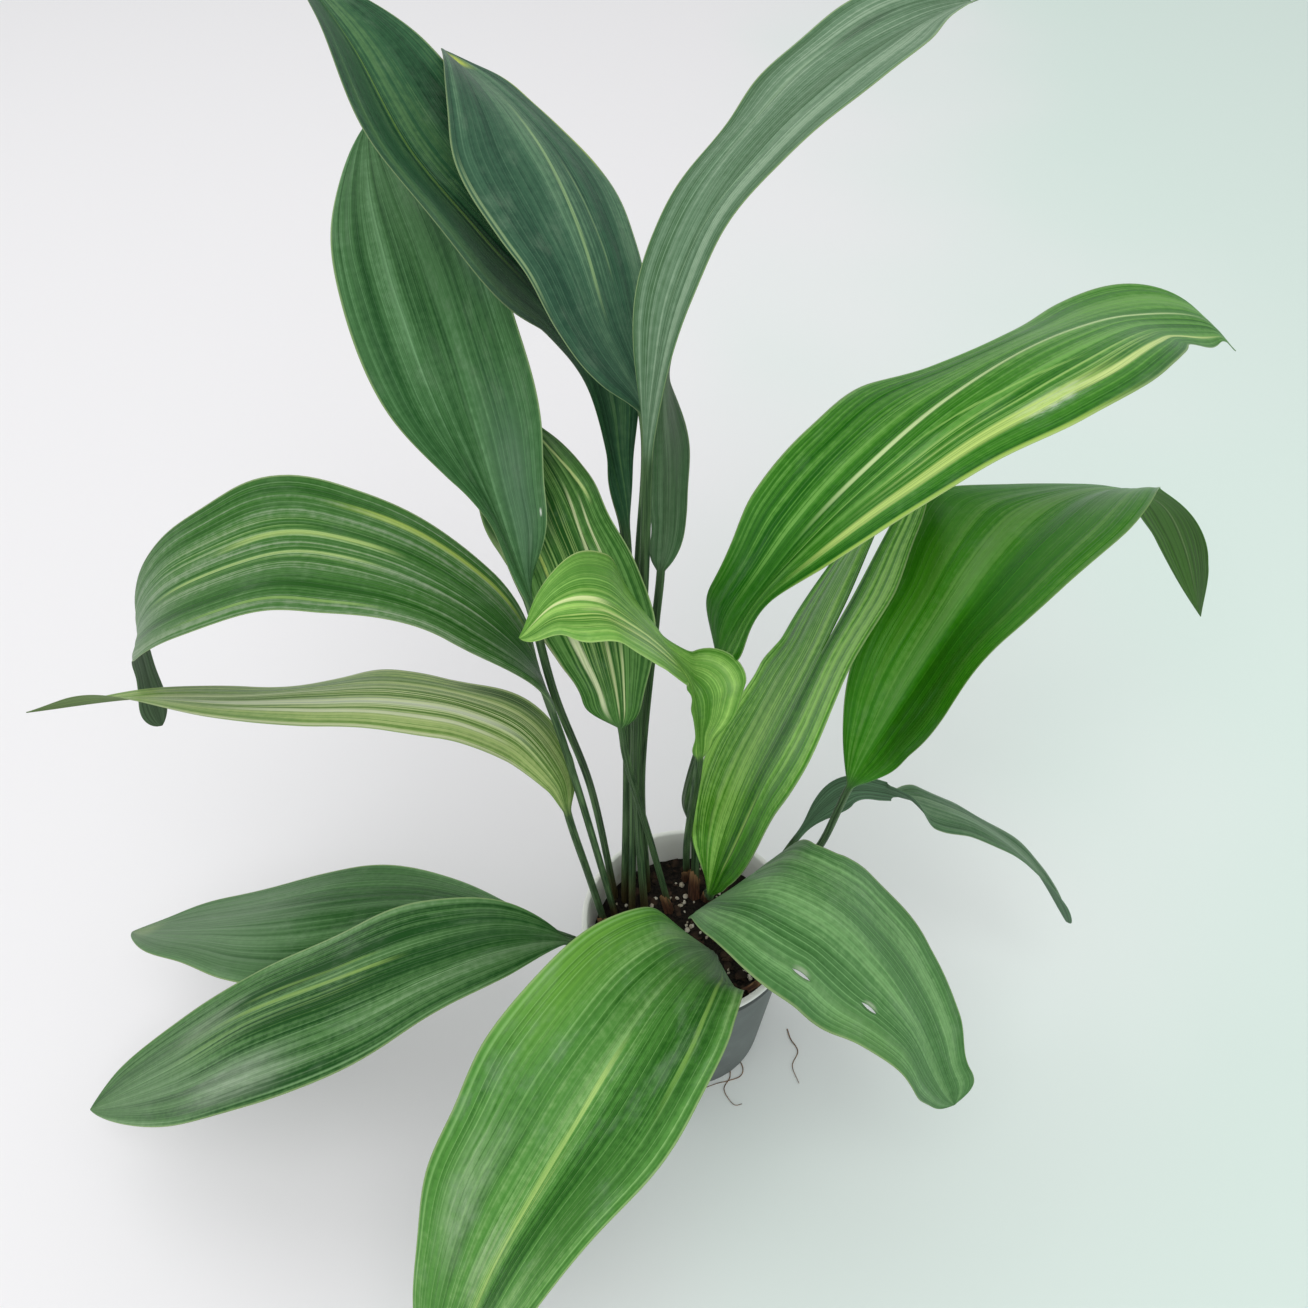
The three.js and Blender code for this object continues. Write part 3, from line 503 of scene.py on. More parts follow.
def smooth_curve(points, per_span=SPAN_STEPS):
    """A centripetal Catmull-Rom curve through the points, and the length along it."""
    points = np.array(points, float)
    ends = [2 * points[0] - points[1]], [2 * points[-1] - points[-2]]
    points = np.vstack([ends[0], points, ends[1]])
    share = np.arange(per_span)[:, None] / per_span
    rows = []
    for p0, p1, p2, p3 in zip(points, points[1:], points[2:], points[3:]):
        d0, d1, d2 = (np.linalg.norm(b - a) ** 0.5 for a, b in ((p0, p1), (p1, p2), (p2, p3)))
        t1 = d1 * ((p1 - p0) / d0 - (p2 - p0) / (d0 + d1) + (p2 - p1) / d1)
        t2 = d1 * ((p2 - p1) / d1 - (p3 - p1) / (d1 + d2) + (p3 - p2) / d2)
        cubic = (-3 * p1 + 3 * p2 - 2 * t1 - t2, 2 * p1 - 2 * p2 + t1 + t2)
        rows.append(p1 + t1 * share + cubic[0] * share**2 + cubic[1] * share**3)
    curve = np.vstack(rows + [points[-2][None]])
    steps = np.linalg.norm(np.diff(curve, axis=0), axis=1)
    return curve, np.concatenate([[0], np.cumsum(steps)])


def through(values, s):
    """A smooth curve through evenly spaced values, read at a share s of its length."""
    place = np.clip(s, 0, 1) * (len(values) - 1)
    i = np.minimum(place.astype(int), len(values) - 2)
    a, b, c, d = (np.asarray(values, float)[np.clip(i + k, 0, len(values) - 1)]
                  for k in (-1, 0, 1, 2))
    t = place - i
    return b + t / 2 * (c - a + t * (2 * a - 5 * b + 4 * c - d + t * (3 * (b - c) + d - a)))


def unit(rows):
    return rows / np.linalg.norm(rows, axis=-1, keepdims=True)


def leaf_stations(leaf, blade_count=130, stalk_step=5.0):
    """Places along a leaf, from the foot of its stalk, with a frame at each."""
    points = np.array(leaf["path"], float)
    curve, lengths = smooth_curve(points)
    start, total = lengths[SPAN_STEPS * leaf["start"]], lengths[-1]
    stalk = np.linspace(0, start, max(8, int(start / stalk_step)), endpoint=False)
    even = np.linspace(0, 1, blade_count)
    blade = (even + (1 - np.cos(math.pi * even)) / 2) / 2
    places = np.concatenate([stalk, start + (total - start) * blade])
    s = np.concatenate([(stalk - start) / start, blade])

    def at(length):
        return np.stack([np.interp(length, lengths, curve[:, k]) for k in range(3)], axis=1)

    centre = at(places)
    reach = 3.0
    ahead = unit(at(np.minimum(places + reach, total)) - at(np.maximum(places - reach, 0)))
    to_tip = points[-1] - points[leaf["start"]]
    level = unit(np.array([-to_tip[1], to_tip[0], 0.0]))
    across = unit(level - ahead * (ahead @ level)[:, None])
    up = np.cross(ahead, across)
    turn = np.radians(along(leaf["turn"], s))[:, None]
    across, up = (across * np.cos(turn) + up * np.sin(turn),
                  up * np.cos(turn) - across * np.sin(turn))

    # the foot goes straight down into the potting mix
    swing = math.atan2(across[1][1], across[1][0])
    across[0] = [math.cos(swing), math.sin(swing), 0]
    up[0] = [-math.sin(swing), math.cos(swing), 0]
    depths = np.array([STALK_DEPTH, STALK_DEPTH * 0.5])
    feet = np.repeat(centre[:1], 2, axis=0)
    feet[:, 2] = SOIL_TOP - depths
    return dict(
        s=np.concatenate([[-1.2, -1.1], s]),
        centre=np.vstack([feet, centre]),
        across=np.vstack([across[:1], across[:1], across]),
        up=np.vstack([up[:1], up[:1], up]),
    )


def half_width(leaf, s, v):
    """How far a leaf reaches at s to the side that v is on, in millimetres."""
    x = np.clip(s, 1e-4, 1 - 1e-4)
    widest = leaf["base"] / (leaf["base"] + leaf["tip"])
    form = (x / widest) ** leaf["base"] * ((1 - x) / (1 - widest)) ** leaf["tip"]
    sides = [through(leaf.get(side, [1, 1]), s) for side in ("left", "right")]
    form = form * np.where(v > 0, *sides)
    stalk = leaf["stalk"] / 2 * (1 - np.clip(s, 0, 1))
    return np.sqrt((leaf["width"] / 2 * form) ** 2 + stalk**2 + 0.4**2)


def gape(st, columns, opening, arm):
    """How far the points of one arm beside an opening move aside, in millimetres."""
    s = st["s"][:, None]
    start, end = opening["start"], opening["end"]
    if end is None:
        return arm * opening["gap"] * np.maximum(0, (s - start) / (1 - start)) + 0 * columns
    share = np.clip((s - start) / (end - start), 0, 1)
    near = np.exp(-(((columns - opening["at"]) / 0.13) ** 2))
    return arm * opening["gap"] * np.sin(math.pi * share) ** 0.7 * near


def leaf_faces(leaf, look, st, columns, shift, seed):
    """The two faces of a leaf, or of one arm of it, as grids of points."""
    s = st["s"][:, None]
    v = np.asarray(columns)[None, :]
    blend = smooth(s / BLEND)
    half = half_width(leaf, s, v)
    fold = np.radians(along(leaf["fold"], st["s"]))[:, None] * blend
    rounded = np.sqrt(np.maximum(0, 1 - v**2))
    edge = np.sqrt(np.maximum(0, 1 - np.abs(v) ** 10)) * 0.8 + 0.2
    blade = 0.34 * edge * (1 - 0.45 * np.clip(s, 0, 1))
    keel = (1.15 * (1 - 0.85 * np.clip(s, 0, 1))) * np.exp(-((v / 0.045) ** 2))
    round_up = leaf["stalk"] / 2 * rounded * (1 - 0.3 * np.exp(-((v / 0.4) ** 2)))
    round_under = leaf["stalk"] / 2 * rounded
    ends = smooth(s / 0.12) * smooth((1 - s) / 0.1)
    phases = np.random.default_rng(seed).uniform(0, 2 * math.pi, 12)
    swell = np.zeros_like(v * s)
    for k, phase in enumerate(phases[:5]):
        rate = look["pleats"] * (0.6 + 0.22 * k)
        swell += np.sin(rate * v * 2.2 + phase + 0.9 * math.sin(k) * s) / 3.2
    pleat = look["pleat"] * swell * ends * np.abs(v) ** 0.25
    side = np.where(v > 0, phases[6], phases[7])
    turns = 2 * math.pi * look["waves"] * s
    beat = np.sin(turns + side) + 0.6 * np.sin(1.83 * turns + 2 * side)
    wave = 2.2 * look["wave"] * np.abs(v) ** 2.6 * beat * ends * blend
    rise = np.abs(v) * half * np.sin(fold) + pleat + wave
    out = v * half * np.cos(fold) + shift
    across, up, centre = (st[key][:, None, :] for key in ("across", "up", "centre"))
    middle = centre + across * out[..., None]
    above = rise + (blade - 0.3 * keel) * blend + round_up * (1 - blend)
    below = rise - (blade + keel) * blend - round_under * (1 - blend)
    return middle + up * above[..., None], middle + up * below[..., None]


class Skin:
    """A growing closed mesh with a coordinate of its own at each point."""

    def __init__(self):
        self.points, self.coords, self.faces = [], [], []
        self.count = 0

    def ring(self, upper, under, v, s):
        """Adds one ring: the upper face from one margin to the other, then back below."""
        size = len(v)
        self.points.append(np.vstack([upper, under[::-1]]))
        sides = np.concatenate([np.zeros(size), np.ones(size)])
        across = np.concatenate([v, v[::-1]])
        self.coords.append(np.stack([across, np.full(2 * size, s), sides], axis=1))
        first = self.count
        self.count += 2 * size
        return np.arange(first, self.count)

    def join(self, a, b):
        self.faces += np.stack([a, b, np.roll(b, -1), np.roll(a, -1)], 1).tolist()

    def close(self, ring, flip):
        half = len(ring) // 2
        for k in range(half - 1):
            face = [ring[k], ring[k + 1], ring[-2 - k], ring[-1 - k]]
            self.faces.append(face if flip else face[::-1])

    def mesh(self, name):
        points = np.vstack(self.points) * MM
        mesh = bpy.data.meshes.new(name)
        mesh.from_pydata(points.tolist(), [], [[int(i) for i in f] for f in self.faces])
        layer = mesh.attributes.new("leaf", "FLOAT_VECTOR", "POINT")
        layer.data.foreach_set("vector", np.vstack(self.coords).astype(np.float32).ravel())
        mesh.shade_smooth()
        mesh.update()
        return mesh


def in_two(ring, column):
    """A whole ring as the two closed rings on each side of a column."""
    under = len(ring) - 1 - column
    return [np.concatenate([ring[:column + 1], ring[under:]]), ring[column:under + 1]]


def leaf_object(name, leaf, look, seed):
    """A leaf as one closed mesh: rings of points that part in two beside an opening."""
    st = leaf_stations(leaf)
    columns = np.sin(np.linspace(-1, 1, COLUMNS) * math.pi / 2 * 0.9) / math.sin(math.pi / 2 * 0.9)
    openings = leaf.get("openings", [])
    cuts = [int(np.argmin(np.abs(columns - opening["at"]))) for opening in openings]
    whole = leaf_faces(leaf, look, st, columns, 0.0, seed)
    arms = []
    for opening, cut in zip(openings, cuts):
        parts = (columns[:cut + 1], -1), (columns[cut:], 1)
        arms.append([leaf_faces(leaf, look, st, part, gape(st, part, opening, way), seed)
                     for part, way in parts])
    skin = Skin()
    rings, before = [], None
    for i, s in enumerate(st["s"]):
        now = None
        for k, opening in enumerate(openings):
            if opening["start"] < s < (opening["end"] or 2):
                now = k
        if now is None:
            made = [skin.ring(whole[0][i], whole[1][i], columns, s)]
        else:
            parts = columns[:cuts[now] + 1], columns[cuts[now]:]
            made = [skin.ring(arm[0][i], arm[1][i], part, s)
                    for arm, part in zip(arms[now], parts)]
        if not rings:
            skin.close(made[0], True)
        ahead = made
        if before is None and now is not None:
            rings = in_two(rings[0], cuts[now])
        elif before is not None and now is None:
            ahead = in_two(made[0], cuts[before])
        for a, b in zip(rings, ahead):
            skin.join(a, b)
        rings, before = made, now
    for ring in rings:
        skin.close(ring, False)
    return add_object(name + "_blade", skin.mesh(name + "_blade"))


# ---- the leaves' material ------------------------------------------------

def ribbon(g, w, s, spot):
    """How much of a pale stripe covers a place, 0 to 1."""
    (v0, v1), (s0, s1) = spot["v"], spot["s"]
    bend = (v1 - v0) / (s1 - s0)
    off = abs(w - (s * bend + (v0 - s0 * bend)))
    mask = g.step(off, spot["half"], spot["half"] * (0.1 if spot["hairy"] else 0.35))
    fade = 0.3 * (s1 - s0)
    mask = mask * g.step(s, s0 - 0.02, s0 + fade * 0.6) * g.step(s, s1 + 0.02, s1 - fade)
    return mask * spot["strength"]


def spot_mask(g, v, s, spot):
    """How much of a soft spot covers a place, 0 to 1."""
    far_v = abs((v - spot["v"]) * (1 / spot["half"][0]))
    far_s = abs((s - spot["s"]) * (1 / spot["half"][1]))
    return g.step(far_v, 1.0, 0.15) * g.step(far_s, 1.0, 0.15) * spot["strength"]


def leaf_material(name, look, seed):
    """The looks of a leaf, by the place on it: v, s and the side, 0 above and 1 below."""
    g = Graph(name)
    v, s, side = g.split(g.attribute("leaf"))
    wander = g.noise(g.vector(v * 1.5, s * 4.0, seed), detail=1.0)
    w = v + (wander - 0.5) * 0.06

    # lengthwise streaks at four sizes, and a fine mottle
    def streak(across, lengthwise, number):
        return g.noise(g.vector(w * across, s * lengthwise, seed + number))

    broad = streak(2.4, 1.3, 1)
    middle = streak(12.0, 1.1, 2)
    fine = streak(36.0, 1.6, 3)
    hair = streak(90.0, 3.0, 4)
    mottle = g.noise(g.place(), scale=MOTTLE_SCALE, detail=3.0)
    streaky = look["streaky"]
    narrow = middle * 0.5 + (fine * 0.4 + hair * 0.25)
    level = 0.575 * (1 - streaky) - 0.07
    tone = broad * 0.55 + narrow * streaky + (mottle * 0.14 + level)
    dark, mid, light = look["tones"]
    colour = g.mix(g.step(tone, 0.7, 0.86), dark, mid)
    colour = g.mix(g.step(tone, 0.84, 0.99), colour, light)

    # soft spots, drawn out along the veins: some are the leaf's own tints, others are painted sheen
    # and painted light and shade on the blade
    drift = s + (middle - 0.5) * 0.14 + (fine - 0.5) * 0.1
    grain = g.noise(g.vector(v * 14.0, s * 22.0, seed + 6), detail=4.0, rough=0.7)
    for spot in look["patches"]:
        small = spot["half"][1] < 0.06
        mask = spot_mask(g, v, s if small else drift, spot)
        if spot["broken"]:
            mask = mask * g.step(grain, 0.4, 0.62, 1 - spot["broken"], 1.0)
        if not small:
            mask = mask * g.step(fine + middle * 0.6, 0.5, 1.1, 0.65, 1.15)
        colour = g.mix(mask, colour, spot["colour"])

    # parallel veins: thin and pale, with a dark line of painted shade in the groove beside each
    uneven = g.noise(g.vector(w * 5.0, 0.0, seed))
    comb = g.math("FRACT", w * VEINS_A_SIDE + uneven * 3.5)
    vein = g.step(abs(comb - 0.5), 0.1, 0.01)
    groove_shade = g.step(abs(comb - 0.78), 0.2, 0.02)
    keep = g.step(middle, 0.35, 0.65, 0.35, 1.0)
    pale = [min(255, c * 1.12 + 14) for c in light]
    colour = g.mix(vein * keep * look["vein"], colour, pale)
    colour = g.mix(groove_shade * (look["vein"] * 0.6), colour, [c * 0.8 for c in dark])

    # cream and yellow stripes with ragged edges, and hair lines
    ragged = w + (fine - 0.5) * 0.035 + (hair - 0.5) * 0.02
    lines = g.step(fine * 0.6 + hair * 0.4, 0.5, 0.6)
    solid = g.step(hair, 0.3, 0.55, 0.6, 1.0)
    covered = None
    for spot in look["stripes"]:
        mask = ribbon(g, ragged, s, spot) * (lines if spot["hairy"] else solid)
        colour = g.mix(mask, colour, spot["colour"])
        covered = mask if covered is None else g.math("MAXIMUM", covered, mask)

    # dust and dried water
    smudge = g.noise(g.vector(v * 3.0, s * 9.0, seed + 9), detail=6.0, rough=0.68)
    smudge = g.step(smudge, 0.5, 0.75) * look["dust"]
    colour = g.mix(smudge, colour, DUSTY)

    # a pale thin margin
    colour = g.mix(g.step(abs(v), 0.968, 0.988) * 0.45, colour, (168, 190, 132))

    # the under face is matt and greyer
    below = g.step(middle * 0.6 + fine * 0.4, 0.38, 0.62)
    below = g.mix(below, [c * 0.72 for c in look["under"]], look["under"])
    if covered is not None:
        below = g.mix(covered * 0.45, below, CREAM)
    colour = g.mix(g.step(side, 0.4, 0.6), colour, below)

    # the stalk is darker, and brown at its foot
    fibre = g.noise(g.vector(v * 6.0, s * 9.0, seed), detail=3.0)
    stalk = g.mix(g.step(fibre, 0.3, 0.7), (40, 66, 42), (94, 124, 82))
    stalk = g.mix(g.step(s, -0.86, -1.0), stalk, (74, 66, 40))
    colour = g.mix(g.step(s, 0.035, -0.02), colour, stalk)

    roughness = smudge * 0.3 + g.step(side, 0.4, 0.6, look["gloss"], 0.62)
    roughness = roughness + (middle - 0.5) * 0.2
    height = vein * 0.35 + (middle * 1.5 + fine * 0.9) + hair * 0.3
    normal = g.bump(height, 0.0009, 0.5)
    cells = g.noise(g.place(), scale=CELL_SCALE)
    normal = g.bump(cells, 0.00006, 0.4, normal)
    return g.finish(colour, roughness, normal, specular=0.14)


for number, (name, leaf) in enumerate(LEAVES.items()):
    look = {**DEFAULT_LOOK, **LOOKS.get(name, {})}
    piece = leaf_object(name, leaf, look, seed=number + 1)
    piece.data.materials.append(leaf_material(name, look, seed=7.3 * number + 1))
    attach(piece, "root")
    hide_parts(name)


# ---- pot -----------------------------------------------------------------

def lathe(name, profile, segments=144):
    """A solid of revolution about Z from (radius, height) pairs in millimetres."""
    mesh = bmesh.new()
    rings = []
    for r, z in profile:
        on_axis = r < 1e-6
        rings.append([mesh.verts.new((0, 0, z * MM))] if on_axis else circle(mesh, r, z, segments))
    for a, b in zip(rings, rings[1:]):
        for k in range(segments):
            n = (k + 1) % segments
            if len(a) == 1:
                mesh.faces.new((a[0], b[n], b[k]))
            elif len(b) == 1:
                mesh.faces.new((a[k], a[n], b[0]))
            else:
                mesh.faces.new((a[k], a[n], b[n], b[k]))
    bmesh.ops.recalc_face_normals(mesh, faces=mesh.faces)
    return add_solid(name, mesh)


def pot_outer(z):
    """The outer radius of the pot's body at a height, in millimetres."""
    return POT["base"] + (POT["body_top"] - POT["base"]) * z / (POT["height"] - POT["rim_height"])


def make_pot():
    """The pot: a thin shell with a foot, a rolled rim and drain holes."""
    top, low = POT["height"], POT["height"] - POT["rim_height"]
    base, rim, wall, floor = (POT[key] for key in ("base", "rim", "wall", "floor"))
    inner = pot_outer(top) - wall
    profile = [(0, 0.0), (base - 8, 0.0), (base - 7.5, 0.8), (base - 6.5, 0.8), (base - 6, 0.0),
               (base - 1.5, 0.0), (base - 0.5, 0.4), (base, 1.5)]
    for z in (6, 20, 40, 60, 80, 100, 118, low - 9):
        profile.append((pot_outer(z), z))
    profile += [(pot_outer(low - 8.4) + 0.35, low - 8.0), (pot_outer(low - 1) + 0.35, low - 1),
                (rim - 1.1, low - 0.2), (rim - 0.35, low + 0.15), (rim, low + 1.0),
                (rim, top - 1.6), (rim - 0.3, top - 0.7), (rim - 0.9, top - 0.15),
                (rim - 1.6, top), (inner + 1.2, top), (inner + 0.4, top - 0.3),
                (inner - 0.1, top - 1.1)]
    for z in (136, 120, 90, 60, 30, 8):
        profile.append((pot_outer(z) - wall, z))
    profile += [(pot_outer(4) - wall - 1.2, floor + 0.3), (pot_outer(4) - wall - 3, floor),
                (0, floor)]
    pot = lathe("nursery_pot", profile)
    cutter = bmesh.new()
    bore = DRAIN["radius"] * MM
    for k in range(DRAIN["count"]):
        angle = 2 * math.pi * (k + 0.5) / DRAIN["count"]
        made = bmesh.ops.create_cone(cutter, cap_ends=True, segments=32, depth=12 * MM,
                                     radius1=bore, radius2=bore)
        x, y = (DRAIN["circle"] * MM * f(angle) for f in (math.cos, math.sin))
        bmesh.ops.translate(cutter, verts=made["verts"], vec=(x, y, 1.5 * MM))
    data = bpy.data.meshes.new("drain_cutter")
    cutter.to_mesh(data)
    cutter.free()
    tool = add_object("drain_cutter", data)
    cut = pot.modifiers.new("drains", "BOOLEAN")
    cut.object, cut.operation, cut.solver = tool, "DIFFERENCE", "EXACT"
    bpy.context.view_layer.objects.active = pot
    bpy.ops.object.modifier_apply(modifier=cut.name)
    bpy.data.objects.remove(tool)

    g = Graph("pot_plastic")
    where = g.place()
    x, y, z = g.split(where)
    radius = g.math("SQRT", x * x + y * y)
    slope = (POT["body_top"] - base) / low
    middle_of_wall = z * slope + (base - 1.0) * MM
    is_inside = g.step(radius - middle_of_wall, 0.0002, -0.0002)
    is_rim = g.step(z, (top - 3.0) * MM, (top - 2.4) * MM)
    is_white = g.math("MAXIMUM", is_inside * g.step(z, 2.5 * MM, 3.2 * MM), is_rim)
    grime = g.noise(where, scale=38.0, detail=5.0, rough=0.65)
    grey = g.mix(g.step(grime, 0.3, 0.75), (88, 95, 94), (107, 115, 113))
    band = g.step(z, (low - 8.3) * MM, (low - 7.7) * MM)
    grey = g.mix(band * 0.35, grey, (66, 72, 74))
    lip = g.step(z, (low - 0.6) * MM, (low + 0.2) * MM)
    grey = g.mix(lip * 0.9, grey, (44, 50, 50))
    scuffs = g.noise(g.vector(x * 90.0, y * 90.0, z * 900.0), detail=3.0)
    grey = g.mix(g.step(scuffs, 0.62, 0.74) * 0.3, grey, (158, 162, 160))
    white = g.mix(g.step(grime, 0.52, 0.8), (238, 239, 234), (208, 204, 190))
    colour = g.mix(is_white, grey, white)
    grain = g.noise(where, scale=1400.0, detail=1.0)
    normal = g.bump(grain, 0.00008, 0.5)
    pot.data.materials.append(g.finish(colour, g.step(grime, 0.2, 0.8, 0.5, 0.68), normal, 0.4))
    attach(pot, "root")
    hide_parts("pot")


# ---- potting mix ---------------------------------------------------------

def soil_height(x, y):
    """The height of the potting mix at a place, in millimetres."""
    r = math.hypot(x, y) / SOIL_EDGE
    lumps = noise.fractal(Vector((x, y, 7.0)) * 0.11, 1.0, 2.0, 5)
    broad = noise.noise(Vector((x, y, 3.0)) * 0.035)
    return SOIL_TOP - 1.6 - 2.4 * r**3 + 1.5 * lumps + 1.6 * broad


def make_soil():
    """The potting mix: a lumpy top on a plain body that fills the pot."""
    edge = pot_outer(SOIL_TOP) - POT["wall"] - 0.5
    mesh = bmesh.new()
    segments, count = 150, 74
    rings = []
    for i in range(1, count + 1):
        r = edge * i / count
        row = []
        for k in range(segments):
            angle = 2 * math.pi * k / segments
            x, y = r * math.cos(angle), r * math.sin(angle)
            row.append(mesh.verts.new((x * MM, y * MM, soil_height(x, y) * MM)))
        rings.append(row)
    middle = mesh.verts.new((0, 0, soil_height(0, 0) * MM))
    for z, r in ((90, pot_outer(90) - POT["wall"] - 0.5), (40, pot_outer(40) - POT["wall"] - 0.5),
                 (POT["floor"] + 0.3, pot_outer(POT["floor"]) - POT["wall"] - 1.4)):
        rings.append(circle(mesh, r, z, segments))
    for k in range(segments):
        mesh.faces.new((middle, rings[0][k], rings[0][(k + 1) % segments]))
    for a, b in zip(rings, rings[1:]):
        for k in range(segments):
            n = (k + 1) % segments
            mesh.faces.new((a[k], b[k], b[n], a[n]))
    mesh.faces.new(list(reversed(rings[-1])))
    bmesh.ops.recalc_face_normals(mesh, faces=mesh.faces)
    soil = add_solid("potting_mix", mesh)

    g = Graph("potting_mix")
    where = g.place()
    lumps = g.noise(where, scale=420.0, detail=6.0, rough=0.7)
    patches = g.noise(where, scale=60.0, detail=3.0)
    colour = g.mix(g.step(lumps, 0.35, 0.7), (12, 10, 9), (50, 42, 34))
    colour = g.mix(g.step(patches, 0.5, 0.7) * 0.5, colour, (22, 17, 14))
    fibres = g.noise(where, scale=1500.0, detail=3.0)
    colour = g.mix(g.step(fibres, 0.62, 0.72) * 0.5, colour, (112, 86, 62))
    normal = g.bump(lumps, 0.0035, 0.9)
    soil.data.materials.append(g.finish(colour, 0.93, normal, 0.25))
    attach(soil, "root")
    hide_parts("soil")


def scatter(name, count, sizes, flat, clear, seed, colours, lift=0.25):
    """Small lumps strewn over the potting mix, as one mesh, clear of the stalks."""
    rng = np.random.default_rng(seed)
    feet = [leaf["path"][0][:2] for leaf in LEAVES.values()]
    mesh = bmesh.new()
    placed = 0
    while placed < count:
        r, angle = SOIL_EDGE * math.sqrt(rng.uniform()), rng.uniform(0, 2 * math.pi)
        x, y = r * math.cos(angle), r * math.sin(angle)
        size = rng.uniform(*sizes)
        if any(math.hypot(x - a, y - b) < clear + size for a, b in feet):
            continue
        made = bmesh.ops.create_icosphere(mesh, subdivisions=2, radius=1.0)
        turn = Vector(rng.normal(size=3)).to_track_quat("Z", "Y")
        lean = Vector((rng.normal() * 0.35, rng.normal() * 0.35, 1)).to_track_quat("Z", "Y")
        shape = Vector((size, size * rng.uniform(0.55, 1.0), size * flat * rng.uniform(0.7, 1.2)))
        for vert in made["verts"]:
            bump = 1 + 0.38 * noise.noise(vert.co * 1.7 + Vector((placed * 3.1, seed, 0)))
            point = turn @ (vert.co * bump) if flat > 0.6 else vert.co * bump
            point = lean @ Vector(a * b for a, b in zip(point, shape))
            spot = Vector((x, y, soil_height(x, y) + lift * size * flat))
            vert.co = (point + spot) * MM
        placed += 1
    piece = add_solid(name, mesh)

    g = Graph(name)
    where = g.place()
    grain = g.noise(where, scale=900.0, detail=4.0, rough=0.65)
    piece_tone = g.noise(where, scale=150.0, detail=1.0)
    colour = g.mix(g.step(piece_tone, 0.35, 0.65), colours[0], colours[1])
    colour = g.mix(g.step(grain, 0.55, 0.75) * 0.6, colour, colours[2])
    piece.data.materials.append(g.finish(colour, 0.9, g.bump(grain, 0.0006, 0.7), 0.3))
    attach(piece, "root")


make_pot()
make_soil()
scatter("perlite", 120, (0.8, 2.1), 0.85, 3.5, 11, [(214, 208, 192), (180, 170, 150), (120, 104, 84)])
scatter("bark_chips", 230, (1.6, 4.4), 0.3, 3.0, 12, [(34, 25, 19), (62, 46, 34), (20, 15, 12)])


# ---- roots and sheaths ---------------------------------------------------

def strand(name, points, radius, end_radius, colour):
    """A thin round strand along a smooth curve, in millimetres."""
    curve, lengths = smooth_curve(points, per_span=8)
    data = bpy.data.curves.new(name, "CURVE")
    data.dimensions = "3D"
    data.bevel_depth = 1.0
    data.bevel_resolution = 3
    data.use_fill_caps = True
    spline = data.splines.new("POLY")
    spline.points.add(len(curve) - 1)
    for point, place, length in zip(spline.points, curve, lengths):
        share = length / lengths[-1]
        point.co = (*(place * MM), 1)
        point.radius = (radius + (end_radius - radius) * share) * MM
    made = add_object(name + "_curve", data)
    bpy.context.view_layer.update()
    view = bpy.context.evaluated_depsgraph_get()
    mesh = bpy.data.meshes.new_from_object(made.evaluated_get(view))
    bpy.data.objects.remove(made)
    mesh.name = name
    mesh.shade_smooth()
    piece = add_object(name, mesh)
    mesh.materials.clear()

    g = Graph(name)
    grain = g.noise(g.place(), scale=700.0, detail=4.0)
    tint = g.mix(g.step(grain, 0.35, 0.65), [c * 0.55 for c in colour], colour)
    mesh.materials.append(g.finish(tint, 0.8, g.bump(grain, 0.0003, 0.6), 0.3))
    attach(piece, "root")


def sheath(name, foot, top, radius, open_share, turn, seed):
    """A papery scale that wraps the foot of a stalk, open on one side and torn at its top."""
    rng = np.random.default_rng(seed)
    span = 2 * math.pi * (1 - open_share)
    sides = np.linspace(-1, 1, 22)
    angles = turn + np.linspace(-0.5, 0.5, 22) * span
    ragged = 1 - 0.3 * np.abs(sides) ** 1.5 - 0.1 * rng.uniform(0, 1, 22)
    foot, top = np.array(foot, float), np.array(top, float)
    skin = Skin()
    rings = []
    for share in np.linspace(0, 1, 14):
        climb = share * ragged
        wide = radius * (1.05 - 0.35 * climb + 0.12 * np.sin(5 * angles + 4 * share + seed))
        middle = foot + (top - foot) * climb[:, None]
        ways = np.stack([np.cos(angles), np.sin(angles), 0 * angles], axis=1)
        outer = middle + ways * (wide + 0.12)[:, None]
        inner = middle + ways * (wide - 0.12)[:, None]
        rings.append(skin.ring(outer, inner, sides, share))
    skin.close(rings[0], True)
    for a, b in zip(rings, rings[1:]):
        skin.join(a, b)
    skin.close(rings[-1], False)
    piece = add_object(name, skin.mesh(name))

    g = Graph(name)
    v, share = g.split(g.attribute("leaf"))[:2]
    lines = g.noise(g.vector(v * 14.0, share * 2.0, seed), detail=3.0)
    spots = g.noise(g.place(), scale=260.0, detail=4.0)
    tint = g.mix(g.step(lines, 0.35, 0.65), (58, 36, 27), (112, 76, 54))
    tint = g.mix(g.step(spots, 0.55, 0.7) * 0.5, tint, (58, 34, 26))
    tint = g.mix(g.step(share, 0.55, 1.0) * 0.6, tint, (176, 138, 96))
    piece.data.materials.append(g.finish(tint, 0.7, g.bump(lines, 0.0006, 0.6), 0.3))
    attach(piece, "root")


